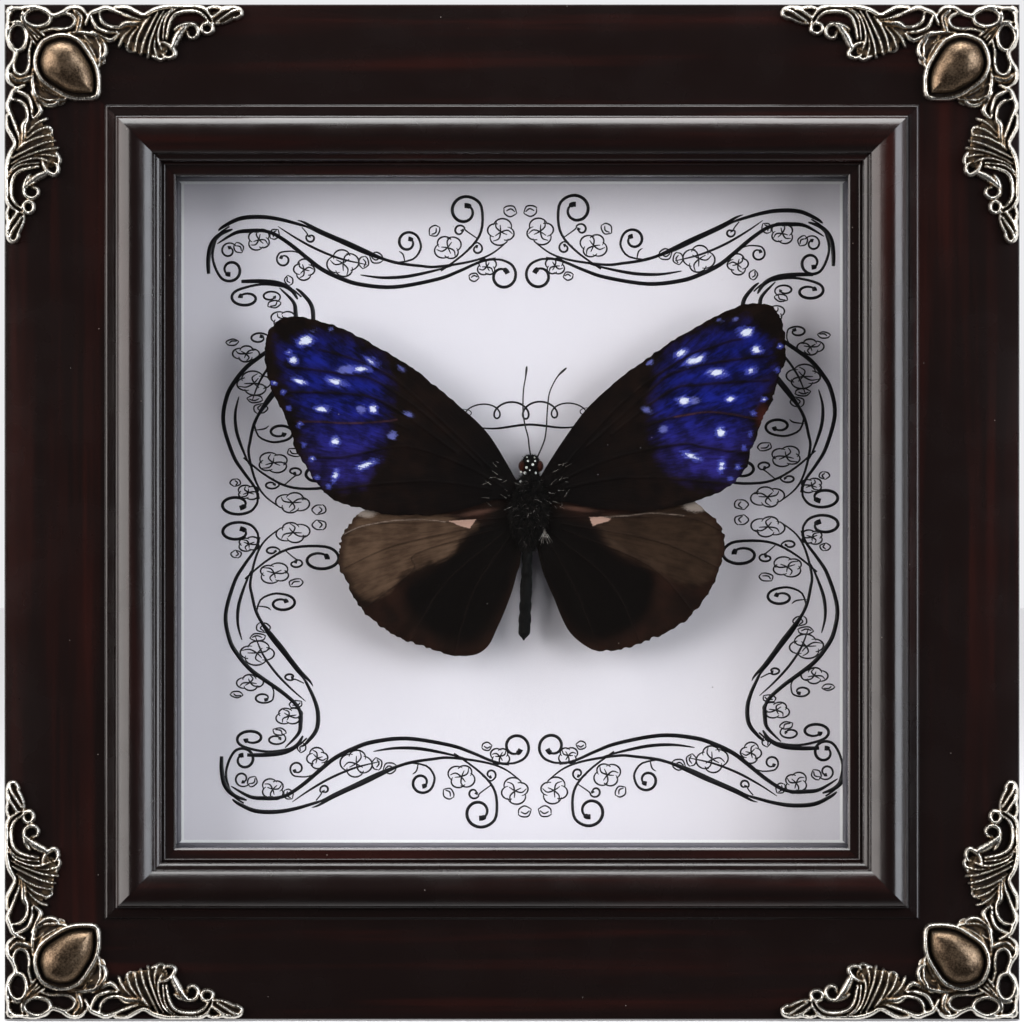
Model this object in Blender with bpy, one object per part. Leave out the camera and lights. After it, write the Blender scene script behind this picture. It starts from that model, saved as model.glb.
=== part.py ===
"""Framed butterfly: a deep moulded frame with cast corner ornaments, and a spread butterfly over a printed card.

Metres, +Z up. The frame stands on its bottom edge and faces -Y. Most shapes are drawn on the plane of the frame,
as x to the viewer's right and z up from the frame's centre, with a depth d that is positive towards the viewer
and 0 on the flat band around the rails.
"""

import math

import bmesh
import bpy
from mathutils import Matrix, Vector

MM = 0.001
GAP = 0.3 * MM

# Frame rails: widths run inward from the outer edge, depths from the flat band.
FRAME_SIDE = 170.0 * MM
FRAME_BACK = 27.0 * MM
EDGE_CHAMFER = 0.4 * MM
BAND_WIDTH = 16.9 * MM
FILLET_WIDTH = 1.3 * MM
FILLET_HEIGHT = 0.9 * MM
FILLET_BEVEL = 0.15 * MM
GROOVE_WIDTH = 0.4 * MM
GROOVE_HEIGHT = 0.4 * MM
MOULDING_CENTRE = (22.0 * MM, 0.9 * MM)
MOULDING_RADII = (3.1 * MM, 3.5 * MM)
OGEE_CENTRE = (25.0 * MM, 0.9 * MM)
OGEE_RADII = (1.45 * MM, 1.3 * MM)
BEAD_END = 26.9 * MM
BEAD_WIDTH = 0.4 * MM
BEAD_HEIGHT = 0.75 * MM
LIP_HEIGHT = 0.3 * MM
LIP_EDGE = 28.7 * MM
LIP_BEVEL = 0.35 * MM
LIP_THICKNESS = 3.0 * MM
REBATE_WALL = 24.7 * MM

# What the rebate holds, front to back.
GLASS_THICKNESS = 2.0 * MM
SPACER_WIDTH = 3.9 * MM
SPACER_DEPTH = 13.6 * MM
CARD_THICKNESS = 1.0 * MM
BOARD_THICKNESS = 3.0 * MM
TAB_SIZE = (8.0 * MM, 14.0 * MM, 0.5 * MM)
TAB_OFFSET = 32.0 * MM

# Hanger on the back of the top rail.
HANGER_SIZE = (44.0 * MM, 9.0 * MM, 0.8 * MM)
HANGER_TEETH = 11
HANGER_TOOTH_DEPTH = 1.6 * MM
HANGER_END = 9.7 * MM
HANGER_DROP = 12.0 * MM
NAIL_RADIUS = 2.0 * MM
NAIL_HEIGHT = 0.6 * MM
NAIL_SPACING = 36.0 * MM
NAIL_RISE = 1.6 * MM

# Corner ornaments, drawn from the frame's corner: a runs along one edge and b inward from it.
ORNAMENT_THICKNESS = 1.5 * MM
BOSS_CENTRE = 9.9 * MM
BOSS_RADIUS = 4.7 * MM
BOSS_HEIGHT = 3.9 * MM
BOSS_TIP = 15.7 * MM
BOSS_FOOT = 0.5 * MM
PLATE_TIP = 16.1 * MM

# Butterfly: its centre on the frame's plane, and the depths of its parts.
BUTTERFLY_CENTRE = (2.7 * MM, 0.0)
BODY_DEPTH = -13.0 * MM
HINDWING_ROOT_DEPTH = -12.4 * MM
FOREWING_ROOT_DEPTH = -11.6 * MM
WING_THICKNESS = 0.3 * MM
WING_RISE = math.radians(4.5)
WING_CELL = 5.0 * MM
WING_CELLS = 9
FIRST_CUT = 0.31 * MM
FOREWING_CROWN = 0.5 * MM
HINDWING_CROWN = 0.3 * MM
CROWN_REACH = 40.0 * MM
ANTENNA_RADIUS = 0.16 * MM
ANTENNA_DEPTHS = (-11.6 * MM, -10.0 * MM)
PAD_SIZE = (6.0 * MM, 9.0 * MM)
BODY_UNDERSIDE = -16.1 * MM

GLASS_BACK = -(LIP_THICKNESS + GAP + GLASS_THICKNESS)
SPACER_BACK = GLASS_BACK - GAP - SPACER_DEPTH
CARD_FRONT = SPACER_BACK - GAP
BOARD_FRONT = CARD_FRONT - CARD_THICKNESS - GAP
BOARD_BACK = BOARD_FRONT - BOARD_THICKNESS
HANGER_BACK = -(FRAME_BACK + GAP + HANGER_SIZE[2])
OBJECT_BACK = HANGER_BACK - GAP - NAIL_HEIGHT
OBJECT_FRONT = MOULDING_CENTRE[1] + MOULDING_RADII[1]
BAND_Y = (OBJECT_FRONT + OBJECT_BACK) / 2
INSERT_SIDE = FRAME_SIDE - 2 * (REBATE_WALL + GAP)

# Ornament outline from the corner, along the outer edge to the arm's tip and back to the boss, in millimetres.
ORNAMENT_EDGE = [
    (0.4, 0.4), (3.4, 0.7), (6.0, 0.3), (9.0, 0.8), (12.6, 0.4), (15.2, 0.9), (18.6, 0.5), (22.0, 1.3),
    (25.6, 0.8), (29.3, 0.3), (33.0, 0.7), (36.4, 1.2), (40.2, 1.5), (38.2, 3.2), (35.6, 4.4), (32.6, 5.7),
    (30.4, 6.4), (29.0, 8.2), (26.0, 9.5), (23.0, 8.8), (20.6, 8.6), (18.4, 7.4), (16.9, 9.2), (15.4, 11.6),
]
# Piercings in one arm: centre along and inward, then the two radii, in millimetres.
ORNAMENT_HOLES = [
    (5.9, 2.6, 1.3, 1.1), (10.0, 2.8, 1.2, 1.0), (14.4, 5.6, 0.8, 1.3), (18.4, 2.9, 1.9, 0.9),
    (23.6, 3.6, 0.9, 1.1), (30.4, 2.6, 1.9, 1.0),
]

# Wing outlines from the butterfly's centre, outward from the body and up, in millimetres.
FOREWING_LEFT = [
    (1.5, 4.5), (6.5, 12.9), (13.4, 19.6), (19.6, 24.6), (27.1, 29.1), (34.6, 32.2), (40.5, 33.0), (43.5, 31.0),
    (44.5, 26.8), (43.5, 21.1), (41.2, 16.2), (39.5, 10.9), (36.3, 5.4), (32.5, 1.8), (27.1, 0.2), (19.6, -0.7),
    (10.7, 0.5), (2.0, 1.6),
]
FOREWING_RIGHT = [
    (1.5, 4.5), (6.7, 13.2), (10.5, 18.1), (19.6, 25.8), (28.6, 31.5), (36.0, 35.0), (40.5, 35.1), (43.2, 31.1),
    (43.5, 25.3), (41.2, 18.4), (38.6, 12.4), (36.8, 7.5), (32.5, 3.3), (24.9, 0.8), (15.4, 0.2), (2.0, 1.6),
]
HINDWING_LEFT = [
    (1.0, 2.4), (10.0, 4.5), (22.0, 4.0), (29.8, -1.3), (32.1, -7.0), (29.8, -14.2), (24.1, -20.1), (15.7, -23.6),
    (10.2, -24.3), (6.5, -22.3), (4.0, -16.9), (1.0, -6.5), (0.8, -2.0),
]
HINDWING_RIGHT = [
    (1.0, 2.4), (10.0, 4.5), (23.0, 4.6), (31.5, -0.8), (33.3, -6.0), (31.1, -13.2), (26.6, -18.6), (19.7, -22.1),
    (12.7, -23.6), (8.7, -21.9), (5.5, -17.4), (2.0, -7.5), (0.8, -2.0),
]
# Body from head to tail: height, sideways drift, half width and half depth, in millimetres.
BODY_STATIONS = [
    (9.5, 0.5, 1.1, 1.0), (8.8, 0.5, 1.9, 1.6), (7.9, 0.5, 2.1, 1.8), (6.7, 0.5, 1.7, 1.5), (6.0, 0.5, 1.4, 1.3),
    (4.9, 0.4, 2.5, 2.2), (2.8, 0.3, 3.4, 2.9), (0.2, 0.2, 3.6, 3.0), (-2.6, 0.1, 3.1, 2.7), (-4.8, 0.0, 2.1, 1.9),
    (-6.4, -0.1, 1.2, 1.3), (-10.0, -0.2, 1.05, 1.2), (-15.0, -0.4, 1.0, 1.1), (-19.5, -0.6, 0.9, 0.9),
    (-21.4, -0.7, 0.4, 0.4),
]
BODY_SIDES = 12
# Antenna centre lines from the head to the tip, sideways and up from the butterfly's centre, in millimetres.
ANTENNA_LEFT = [(0.2, 10.2), (0.0, 12.7), (-0.8, 15.9), (-0.9, 19.5), (-0.3, 23.1), (-0.2, 24.6)]
ANTENNA_RIGHT = [(1.9, 10.1), (2.8, 12.2), (3.2, 15.5), (3.5, 19.9), (4.3, 21.7), (6.5, 24.3)]


def clear_scene():
    for obj in list(bpy.data.objects):
        bpy.data.objects.remove(obj)


def make_material(name, colour, roughness, metallic=0.0, transmission=0.0):
    material = bpy.data.materials.new(name)
    material.use_nodes = True
    shader = material.node_tree.nodes["Principled BSDF"]
    shader.inputs["Base Color"].default_value = (*colour, 1.0)
    shader.inputs["Roughness"].default_value = roughness
    shader.inputs["Metallic"].default_value = metallic
    shader.inputs["Transmission Weight"].default_value = transmission
    material.diffuse_color = (*colour, 1.0)
    return material


def add_piece(name, mesh, material, centre, location=(0.0, 0.0, 0.0), turn=0.0):
    """A named piece hung on the frame's centre, turned about the axis that faces the viewer."""
    piece = bpy.data.objects.new(name, mesh)
    bpy.context.scene.collection.objects.link(piece)
    piece.parent = centre
    piece.location = location
    piece.rotation_euler = (0.0, turn, 0.0)
    if not mesh.materials:
        mesh.materials.append(material)
    return piece


def hide_guide(guide):
    guide.hide_render = True
    guide.display_type = "WIRE"


def mesh_from(bm, name, sharp_angle=None):
    mesh = bpy.data.meshes.new(name)
    bm.to_mesh(mesh)
    bm.free()
    if sharp_angle is not None:
        mesh.shade_smooth()
        mesh.set_sharp_from_angle(angle=math.radians(sharp_angle))
    return mesh


def ellipse_arc(centre, radii, start, end, steps):
    """Points along an ellipse between two angles in degrees, both ends included."""
    points = []
    for step in range(steps + 1):
        angle = math.radians(start + (end - start) * step / steps)
        points.append((centre[0] + radii[0] * math.cos(angle), centre[1] + radii[1] * math.sin(angle)))
    return points


def smooth_line(controls, per_span, closed):
    """A Catmull-Rom curve through the control points."""
    count = len(controls)
    spans = count if closed else count - 1
    line = []
    for span in range(spans):
        picks = [span - 1, span, span + 1, span + 2]
        picks = [pick % count if closed else min(max(pick, 0), count - 1) for pick in picks]
        before, start, end, after = [Vector(controls[pick]) for pick in picks]
        for step in range(per_span):
            t = step / per_span
            line.append(
                0.5
                * (
                    2 * start
                    + (end - before) * t
                    + (2 * before - 5 * start + 4 * end - after) * t * t
                    + (3 * start - before - 3 * end + after) * t**3
                )
            )
    if not closed:
        line.append(Vector(controls[-1]))
    return line


def box_mesh(name, size):
    """A box with its centre at the origin."""
    bm = bmesh.new()
    bmesh.ops.create_cube(bm, size=1.0, matrix=Matrix.Diagonal((*size, 1.0)))
    return mesh_from(bm, name)


def slab(name, side_x, side_z, front, back, material, centre, x=0.0, z=0.0):
    """A flat rectangular piece between two depths."""
    mesh = box_mesh(name, (side_x, front - back, side_z))
    return add_piece(name, mesh, material, centre, (x, -(front + back) / 2, z))


def extruded_mesh(name, loops, front, back, sharp_angle=None):
    """A flat plate between two depths; the first loop is its outline and the others are holes."""
    bm = bmesh.new()
    edges = []
    for loop in loops:
        ring = [bm.verts.new((x, -back, z)) for x, z in loop]
        for start, end in zip(ring, ring[1:] + ring[:1]):
            edges.append(bm.edges.new((start, end)))
    bmesh.ops.triangle_fill(bm, edges=edges, use_beauty=True, use_dissolve=False)
    faces = bmesh.ops.extrude_face_region(bm, geom=list(bm.faces))["geom"]
    moved = [item for item in faces if isinstance(item, bmesh.types.BMVert)]
    bmesh.ops.translate(bm, verts=moved, vec=(0.0, back - front, 0.0))
    bmesh.ops.recalc_face_normals(bm, faces=list(bm.faces))
    return mesh_from(bm, name, sharp_angle)


# Frame


def rail_section():
    """The rail's outline as width inward and depth, from its back outer corner round the front to the rebate."""
    section = [
        (0.0, -FRAME_BACK),
        (0.0, -EDGE_CHAMFER),
        (EDGE_CHAMFER, 0.0),
        (BAND_WIDTH, 0.0),
        (BAND_WIDTH + FILLET_BEVEL, FILLET_HEIGHT - FILLET_BEVEL),
        (BAND_WIDTH + 2 * FILLET_BEVEL, FILLET_HEIGHT),
        (BAND_WIDTH + FILLET_WIDTH, FILLET_HEIGHT - FILLET_BEVEL),
        (BAND_WIDTH + FILLET_WIDTH + GROOVE_WIDTH, GROOVE_HEIGHT),
    ]
    section += ellipse_arc(MOULDING_CENTRE, MOULDING_RADII, 180, 36, 8)
    section += ellipse_arc(OGEE_CENTRE, OGEE_RADII, 78, 8, 4)
    section += [
        (BEAD_END - BEAD_WIDTH, BEAD_HEIGHT),
        (BEAD_END, BEAD_HEIGHT),
        (BEAD_END + BEAD_WIDTH / 4, LIP_HEIGHT),
        (LIP_EDGE - LIP_BEVEL, LIP_HEIGHT),
        (LIP_EDGE, LIP_HEIGHT - LIP_BEVEL),
        (LIP_EDGE, -LIP_THICKNESS),
        (REBATE_WALL, -LIP_THICKNESS),
        (REBATE_WALL, -FRAME_BACK),
    ]
    return section


def rail_mesh():
    """The bottom rail: its section run along x, with both ends cut to the mitre."""
    half = FRAME_SIDE / 2
    mitre_gap = GAP / 2 * math.sqrt(2)
    bm = bmesh.new()
    ends = []
    for side in (-1, 1):
        ends.append([bm.verts.new((side * (half - u - mitre_gap), -d, u - half)) for u, d in rail_section()])
    for index in range(len(ends[0])):
        following = (index + 1) % len(ends[0])
        bm.faces.new((ends[0][index], ends[1][index], ends[1][following], ends[0][following]))
    for end in ends:
        bm.faces.new(end)
    bmesh.ops.recalc_face_normals(bm, faces=list(bm.faces))
    return mesh_from(bm, "rail", sharp_angle=25)


def build_rails(centre):
    wood = make_material("dark lacquered wood", (0.035, 0.013, 0.010), 0.28)
    mesh = rail_mesh()
    for quarter, side in enumerate(("bottom", "left", "top", "right")):
        add_piece(f"rail_{side}", mesh, wood, centre, turn=quarter * math.pi / 2)


def build_glass(centre):
    clear = make_material("clear glass", (0.95, 0.97, 0.97), 0.02, transmission=1.0)
    front = -(LIP_THICKNESS + GAP)
    slab("glass_pane", INSERT_SIDE, INSERT_SIDE, front, GLASS_BACK, clear, centre)


def build_spacers(centre):
    black = make_material("black spacer strip", (0.012, 0.012, 0.013), 0.35)
    front = GLASS_BACK - GAP
    offset = (INSERT_SIDE - SPACER_WIDTH) / 2
    upright = INSERT_SIDE - 2 * (SPACER_WIDTH + GAP)
    for side, sign in (("top", 1), ("bottom", -1)):
        slab(f"spacer_{side}", INSERT_SIDE, SPACER_WIDTH, front, SPACER_BACK, black, centre, z=sign * offset)
    for side, sign in (("left", -1), ("right", 1)):
        slab(f"spacer_{side}", SPACER_WIDTH, upright, front, SPACER_BACK, black, centre, x=sign * offset)


def build_backing(centre):
    card = make_material("printed card", (0.75, 0.73, 0.80), 0.55)
    board = make_material("brown hardboard", (0.16, 0.085, 0.04), 0.75)
    slab("backing_card", INSERT_SIDE, INSERT_SIDE, CARD_FRONT, CARD_FRONT - CARD_THICKNESS, card, centre)
    slab("back_board", INSERT_SIDE, INSERT_SIDE, BOARD_FRONT, BOARD_BACK, board, centre)


def build_tabs(centre):
    """Two flat metal points a side, from the rebate wall over the back board."""
    steel = make_material("zinc plated steel", (0.55, 0.55, 0.56), 0.35, metallic=1.0)
    width, length, thickness = TAB_SIZE
    depth = BOARD_BACK - GAP - thickness / 2
    reach = INSERT_SIDE / 2 - length / 2
    mesh = box_mesh("retaining_tab", (width, thickness, length))
    for quarter, side in enumerate(("bottom", "left", "top", "right")):
        for number, along in ((1, -TAB_OFFSET), (2, TAB_OFFSET)):
            turn = Matrix.Rotation(quarter * math.pi / 2, 3, "Y")
            place = turn @ Vector((along, -depth, -reach))
            add_piece(f"retaining_tab_{side}_{number}", mesh, steel, centre, place, quarter * math.pi / 2)


def hanger_outline():
    """A long plate with a row of teeth along its lower edge."""
    length, height, _ = HANGER_SIZE
    pitch = (length - 2 * HANGER_END) / HANGER_TEETH
    outline = [(-length / 2, height / 2), (-length / 2, -height / 2)]
    for tooth in range(HANGER_TEETH):
        start = -length / 2 + HANGER_END + tooth * pitch
        outline.append((start, -height / 2))
        outline.append((start + pitch / 2, -height / 2 + HANGER_TOOTH_DEPTH))
    outline += [(length / 2 - HANGER_END, -height / 2), (length / 2, -height / 2), (length / 2, height / 2)]
    return outline


def nail_mesh():
    """A flat nail head, wider on the side that touches the hanger."""
    bm = bmesh.new()
    lie = Matrix.Rotation(math.pi / 2, 4, "X")
    top_radius = NAIL_RADIUS * 0.7
    bmesh.ops.create_cone(
        bm, cap_ends=True, segments=12, radius1=top_radius, radius2=NAIL_RADIUS, depth=NAIL_HEIGHT, matrix=lie
    )
    return mesh_from(bm, "hanger_nail", sharp_angle=35)


def build_hanger(centre):
    brass = make_material("brassed steel", (0.62, 0.47, 0.22), 0.35, metallic=1.0)
    height = FRAME_SIDE / 2 - HANGER_DROP
    nail_depth = HANGER_BACK - GAP - NAIL_HEIGHT / 2
    plate = extruded_mesh("sawtooth_hanger", [hanger_outline()], -(FRAME_BACK + GAP), HANGER_BACK)
    add_piece("sawtooth_hanger", plate, brass, centre, (0.0, 0.0, height))
    for side, sign in (("left", -1), ("right", 1)):
        place = (sign * NAIL_SPACING / 2, -nail_depth, height + NAIL_RISE)
        add_piece(f"hanger_nail_{side}", nail_mesh(), brass, centre, place)


# Corner ornaments


def boss_mesh():
    """A teardrop dome: a round end, drawn out to a point towards the frame's middle."""
    narrowing = 0.55
    bm = bmesh.new()
    bmesh.ops.create_uvsphere(bm, u_segments=16, v_segments=8, radius=1.0)
    reach = (BOSS_TIP - BOSS_CENTRE) * math.sqrt(2)
    for vert in bm.verts:
        along = vert.co.x * (reach if vert.co.x > 0 else BOSS_RADIUS)
        pinch = 1.0 - narrowing * max(vert.co.x, 0.0) ** 2
        vert.co = Vector((along, -vert.co.z * BOSS_HEIGHT, vert.co.y * BOSS_RADIUS * pinch))
    geometry = list(bm.verts) + list(bm.edges) + list(bm.faces)
    foot = (0.0, -BOSS_FOOT, 0.0)
    bmesh.ops.bisect_plane(bm, geom=geometry, plane_co=foot, plane_no=(0, 1, 0), clear_outer=True)
    bmesh.ops.holes_fill(bm, edges=list(bm.edges))
    bmesh.ops.recalc_face_normals(bm, faces=list(bm.faces))
    bmesh.ops.transform(bm, matrix=Matrix.Rotation(-math.pi / 4, 4, "Y"), verts=list(bm.verts))
    bmesh.ops.translate(bm, verts=list(bm.verts), vec=(BOSS_CENTRE, 0.0, BOSS_CENTRE))
    return mesh_from(bm, "ornament_boss", sharp_angle=50)


def ornament_loops():
    """The outline and the piercings of a whole corner, mirrored about its diagonal."""
    arm = [(a * MM, b * MM) for a, b in ORNAMENT_EDGE]
    outline = arm + [(PLATE_TIP, PLATE_TIP)] + [(b, a) for a, b in reversed(arm[1:])]
    loops = [[tuple(point) for point in smooth_line(outline, 2, closed=True)]]
    for a, b, radius_a, radius_b in ORNAMENT_HOLES:
        ring = ellipse_arc((a * MM, b * MM), (radius_a * MM, radius_b * MM), 0, 324, 9)
        loops.append(ring)
        loops.append([(point_b, point_a) for point_a, point_b in ring])
    return loops


def build_ornaments(centre):
    cast = make_material("antique brass casting", (0.42, 0.35, 0.26), 0.38, metallic=1.0)
    plate = extruded_mesh("corner_ornament", ornament_loops(), GAP + ORNAMENT_THICKNESS, GAP, sharp_angle=40)
    dome = boss_mesh()
    half = FRAME_SIDE / 2
    for quarter, corner in enumerate(("bottom_left", "top_left", "top_right", "bottom_right")):
        turn = quarter * math.pi / 2
        place = Matrix.Rotation(turn, 3, "Y") @ Vector((-half, 0.0, -half))
        ornament = add_piece(f"corner_ornament_{corner}", plate, cast, centre, place, turn)
        boss = add_piece(f"boss_{corner}", dome, cast, ornament)
        hide_guide(boss)
        union = ornament.modifiers.new("boss", "BOOLEAN")
        union.operation = "UNION"
        union.object = boss


# Butterfly


def wing_depth(across, root_depth, crown):
    """How far forward the wing's sheet lies, at a distance out from the body."""
    camber = crown * math.sin(min(across / CROWN_REACH, 1.0) * math.pi)
    return root_depth + math.tan(WING_RISE) * across + camber


def wing_mesh(name, controls, side, root_depth, crown):
    """A thin curved sheet inside a smooth outline, cut into cells so that it can bend."""
    bm = bmesh.new()
    outline = smooth_line([(x * MM, z * MM) for x, z in controls], 2, closed=True)
    bm.faces.new([bm.verts.new((side * x, 0.0, z)) for x, z in outline])
    for axis in ((1.0, 0.0, 0.0), (0.0, 0.0, 1.0)):
        for step in range(-WING_CELLS, WING_CELLS + 1):
            plane = Vector(axis) * (step * WING_CELL + FIRST_CUT)
            geometry = list(bm.verts) + list(bm.edges) + list(bm.faces)
            bmesh.ops.bisect_plane(bm, geom=geometry, plane_co=plane, plane_no=axis, dist=1e-6)
    bmesh.ops.triangulate(bm, faces=list(bm.faces))
    for vert in bm.verts:
        vert.co.y = -wing_depth(abs(vert.co.x), root_depth, crown)
    bmesh.ops.recalc_face_normals(bm, faces=list(bm.faces))
    return mesh_from(bm, name, sharp_angle=40)


def body_mesh(name, clearance=0.0):
    """Rings of points from head to tail, closed at both ends, made fatter by a clearance."""
    bm = bmesh.new()
    rings = []
    for up, drift, half_width, half_depth in BODY_STATIONS:
        ring = []
        for step in range(BODY_SIDES):
            angle = 2 * math.pi * step / BODY_SIDES
            x = drift * MM + (half_width * MM + clearance) * math.cos(angle)
            y = -BODY_DEPTH + (half_depth * MM + clearance) * math.sin(angle)
            ring.append(bm.verts.new((x, y, up * MM)))
        rings.append(ring)
    for upper, lower in zip(rings, rings[1:]):
        for step in range(BODY_SIDES):
            following = (step + 1) % BODY_SIDES
            bm.faces.new((upper[step], upper[following], lower[following], lower[step]))
    bm.faces.new(rings[0])
    bm.faces.new(rings[-1])
    bmesh.ops.recalc_face_normals(bm, faces=list(bm.faces))
    return mesh_from(bm, name, sharp_angle=50)


def build_butterfly(centre):
    fur = make_material("black body fur", (0.012, 0.010, 0.009), 0.7)
    blue = make_material("forewing scales", (0.020, 0.018, 0.16), 0.45)
    brown = make_material("hindwing scales", (0.035, 0.022, 0.016), 0.5)
    place = (BUTTERFLY_CENTRE[0], 0.0, BUTTERFLY_CENTRE[1])
    add_piece("butterfly_body", body_mesh("butterfly_body"), fur, centre, place)
    clearance = add_piece("body_clearance", body_mesh("body_clearance", GAP), fur, centre, place)
    hide_guide(clearance)
    wings = [
        ("forewing_left", FOREWING_LEFT, -1, FOREWING_ROOT_DEPTH, FOREWING_CROWN, blue),
        ("forewing_right", FOREWING_RIGHT, 1, FOREWING_ROOT_DEPTH, FOREWING_CROWN, blue),
        ("hindwing_left", HINDWING_LEFT, -1, HINDWING_ROOT_DEPTH, HINDWING_CROWN, brown),
        ("hindwing_right", HINDWING_RIGHT, 1, HINDWING_ROOT_DEPTH, HINDWING_CROWN, brown),
    ]
    for name, outline, side, depth, crown, scales in wings:
        wing = add_piece(name, wing_mesh(name, outline, side, depth, crown), scales, centre, place)
        sheet = wing.modifiers.new("thickness", "SOLIDIFY")
        sheet.thickness = WING_THICKNESS
        sheet.offset = 0.0
        root = wing.modifiers.new("room for the body", "BOOLEAN")
        root.operation = "DIFFERENCE"
        root.object = clearance
    build_antennae(centre, place, fur)


def build_antennae(centre, place, material):
    for side, controls in (("left", ANTENNA_LEFT), ("right", ANTENNA_RIGHT)):
        line = smooth_line([(x * MM, z * MM) for x, z in controls], 3, closed=False)
        curve = bpy.data.curves.new(f"antenna_{side}", "CURVE")
        curve.dimensions = "3D"
        curve.bevel_depth = ANTENNA_RADIUS
        curve.bevel_resolution = 1
        curve.use_fill_caps = True
        spline = curve.splines.new("POLY")
        spline.points.add(len(line) - 1)
        for index, point in enumerate(line):
            part_way = index / (len(line) - 1)
            depth = ANTENNA_DEPTHS[0] + (ANTENNA_DEPTHS[1] - ANTENNA_DEPTHS[0]) * part_way
            spline.points[index].co = (point[0], -depth, point[1], 1.0)
        add_piece(f"antenna_{side}", curve, material, centre, place)


def build_pad(centre):
    foam = make_material("foam block", (0.8, 0.8, 0.78), 0.9)
    front = BODY_UNDERSIDE - GAP
    back = CARD_FRONT + GAP
    x, z = BUTTERFLY_CENTRE
    slab("mounting_pad", PAD_SIZE[0], PAD_SIZE[1], front, back, foam, centre, x=x, z=z)


def main():
    clear_scene()
    centre = bpy.data.objects.new("frame_centre", None)
    bpy.context.scene.collection.objects.link(centre)
    centre.location = (0.0, BAND_Y, FRAME_SIDE / 2)
    build_rails(centre)
    build_glass(centre)
    build_spacers(centre)
    build_backing(centre)
    build_tabs(centre)
    build_hanger(centre)
    build_ornaments(centre)
    build_butterfly(centre)
    build_pad(centre)


main()
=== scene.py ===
import math

import bmesh
import bpy
import numpy as np
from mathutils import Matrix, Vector


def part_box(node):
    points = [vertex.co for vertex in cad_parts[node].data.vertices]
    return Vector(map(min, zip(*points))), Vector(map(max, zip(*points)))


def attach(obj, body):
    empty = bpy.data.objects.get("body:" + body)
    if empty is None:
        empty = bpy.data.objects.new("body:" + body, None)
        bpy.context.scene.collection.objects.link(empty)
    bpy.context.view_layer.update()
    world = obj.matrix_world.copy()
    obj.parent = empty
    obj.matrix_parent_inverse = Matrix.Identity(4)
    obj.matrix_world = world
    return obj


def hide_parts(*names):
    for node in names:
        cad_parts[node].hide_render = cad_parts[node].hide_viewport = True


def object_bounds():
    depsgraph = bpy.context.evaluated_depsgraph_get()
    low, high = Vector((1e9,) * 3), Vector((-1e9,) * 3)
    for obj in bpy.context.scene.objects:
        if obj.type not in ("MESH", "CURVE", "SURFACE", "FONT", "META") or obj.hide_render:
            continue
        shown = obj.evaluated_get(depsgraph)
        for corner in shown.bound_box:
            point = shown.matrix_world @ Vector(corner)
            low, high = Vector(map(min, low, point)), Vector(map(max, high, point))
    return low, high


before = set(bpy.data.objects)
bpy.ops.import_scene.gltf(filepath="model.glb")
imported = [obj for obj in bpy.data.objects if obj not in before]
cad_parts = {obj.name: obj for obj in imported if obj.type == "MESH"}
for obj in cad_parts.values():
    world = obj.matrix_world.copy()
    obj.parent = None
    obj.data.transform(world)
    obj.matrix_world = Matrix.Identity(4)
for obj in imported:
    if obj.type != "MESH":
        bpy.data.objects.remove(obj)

# A framed butterfly. Shapes are drawn in millimetres on the plane of the frame: x to the right and z up from
# the frame's centre, and a depth that is 0 on the flat band of the rails and positive towards the viewer.
mm = 0.001
cadLow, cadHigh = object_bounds()
crownHeight = 4.4                                       # the moulding's crown above the flat band
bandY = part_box("rail_bottom")[0].y + crownHeight * mm
centreZ = (cadLow.z + cadHigh.z) / 2
halfSide = (cadHigh.x - cadLow.x) / 2 / mm
quarterSides = ("bottom", "left", "top", "right")       # clockwise, a quarter turn apart


def extent(node):
    low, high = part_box(node)
    return {
        "left": low.x / mm,
        "right": high.x / mm,
        "bottom": (low.z - centreZ) / mm,
        "top": (high.z - centreZ) / mm,
        "front": (bandY - low.y) / mm,
        "back": (bandY - high.y) / mm,
    }


def toWorld(flat):
    flat = np.asarray(flat, float)
    return np.column_stack([flat[:, 0] * mm, bandY - flat[:, 2] * mm, centreZ + flat[:, 1] * mm])


def linkObject(name, data):
    made = bpy.data.objects.new(name, data)
    bpy.context.scene.collection.objects.link(made)
    return made


def placeMesh(name, mesh, material, sharpAngle=40.0):
    mesh.shade_smooth()
    mesh.set_sharp_from_angle(angle=math.radians(sharpAngle))
    mesh.materials.append(material)
    return linkObject(name, mesh)


def addPiece(name, flat, faces, material, values=None, grain=None, sharpAngle=40.0):
    # a mesh from flat points, with one number a point for each named value
    mesh = bpy.data.meshes.new(name)
    mesh.from_pydata(toWorld(flat), [], faces)
    for label, numbers in (values or {}).items():
        layer = mesh.attributes.new(label, "FLOAT", "POINT")
        layer.data.foreach_set("value", np.asarray(numbers, np.float32))
    if grain is not None:
        corners = np.empty(len(mesh.loops), np.int32)
        mesh.loops.foreach_get("vertex_index", corners)
        layer = mesh.uv_layers.new(name="grain")
        layer.data.foreach_set("uv", np.asarray(grain, np.float32)[corners].ravel())
    return placeMesh(name, mesh, material, sharpAngle)


def meshFrom(bm, name):
    mesh = bpy.data.meshes.new(name)
    bm.to_mesh(mesh)
    bm.free()
    return mesh


def faceOutward(mesh):
    bm = bmesh.new()
    bm.from_mesh(mesh)
    bmesh.ops.recalc_face_normals(bm, faces=list(bm.faces))
    bm.to_mesh(mesh)
    bm.free()


def quarterTurned(x, z, quarter):
    # a place turned clockwise by quarters round the middle
    turn = quarter * math.pi / 2
    return x * math.cos(turn) + z * math.sin(turn), z * math.cos(turn) - x * math.sin(turn)


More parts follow.
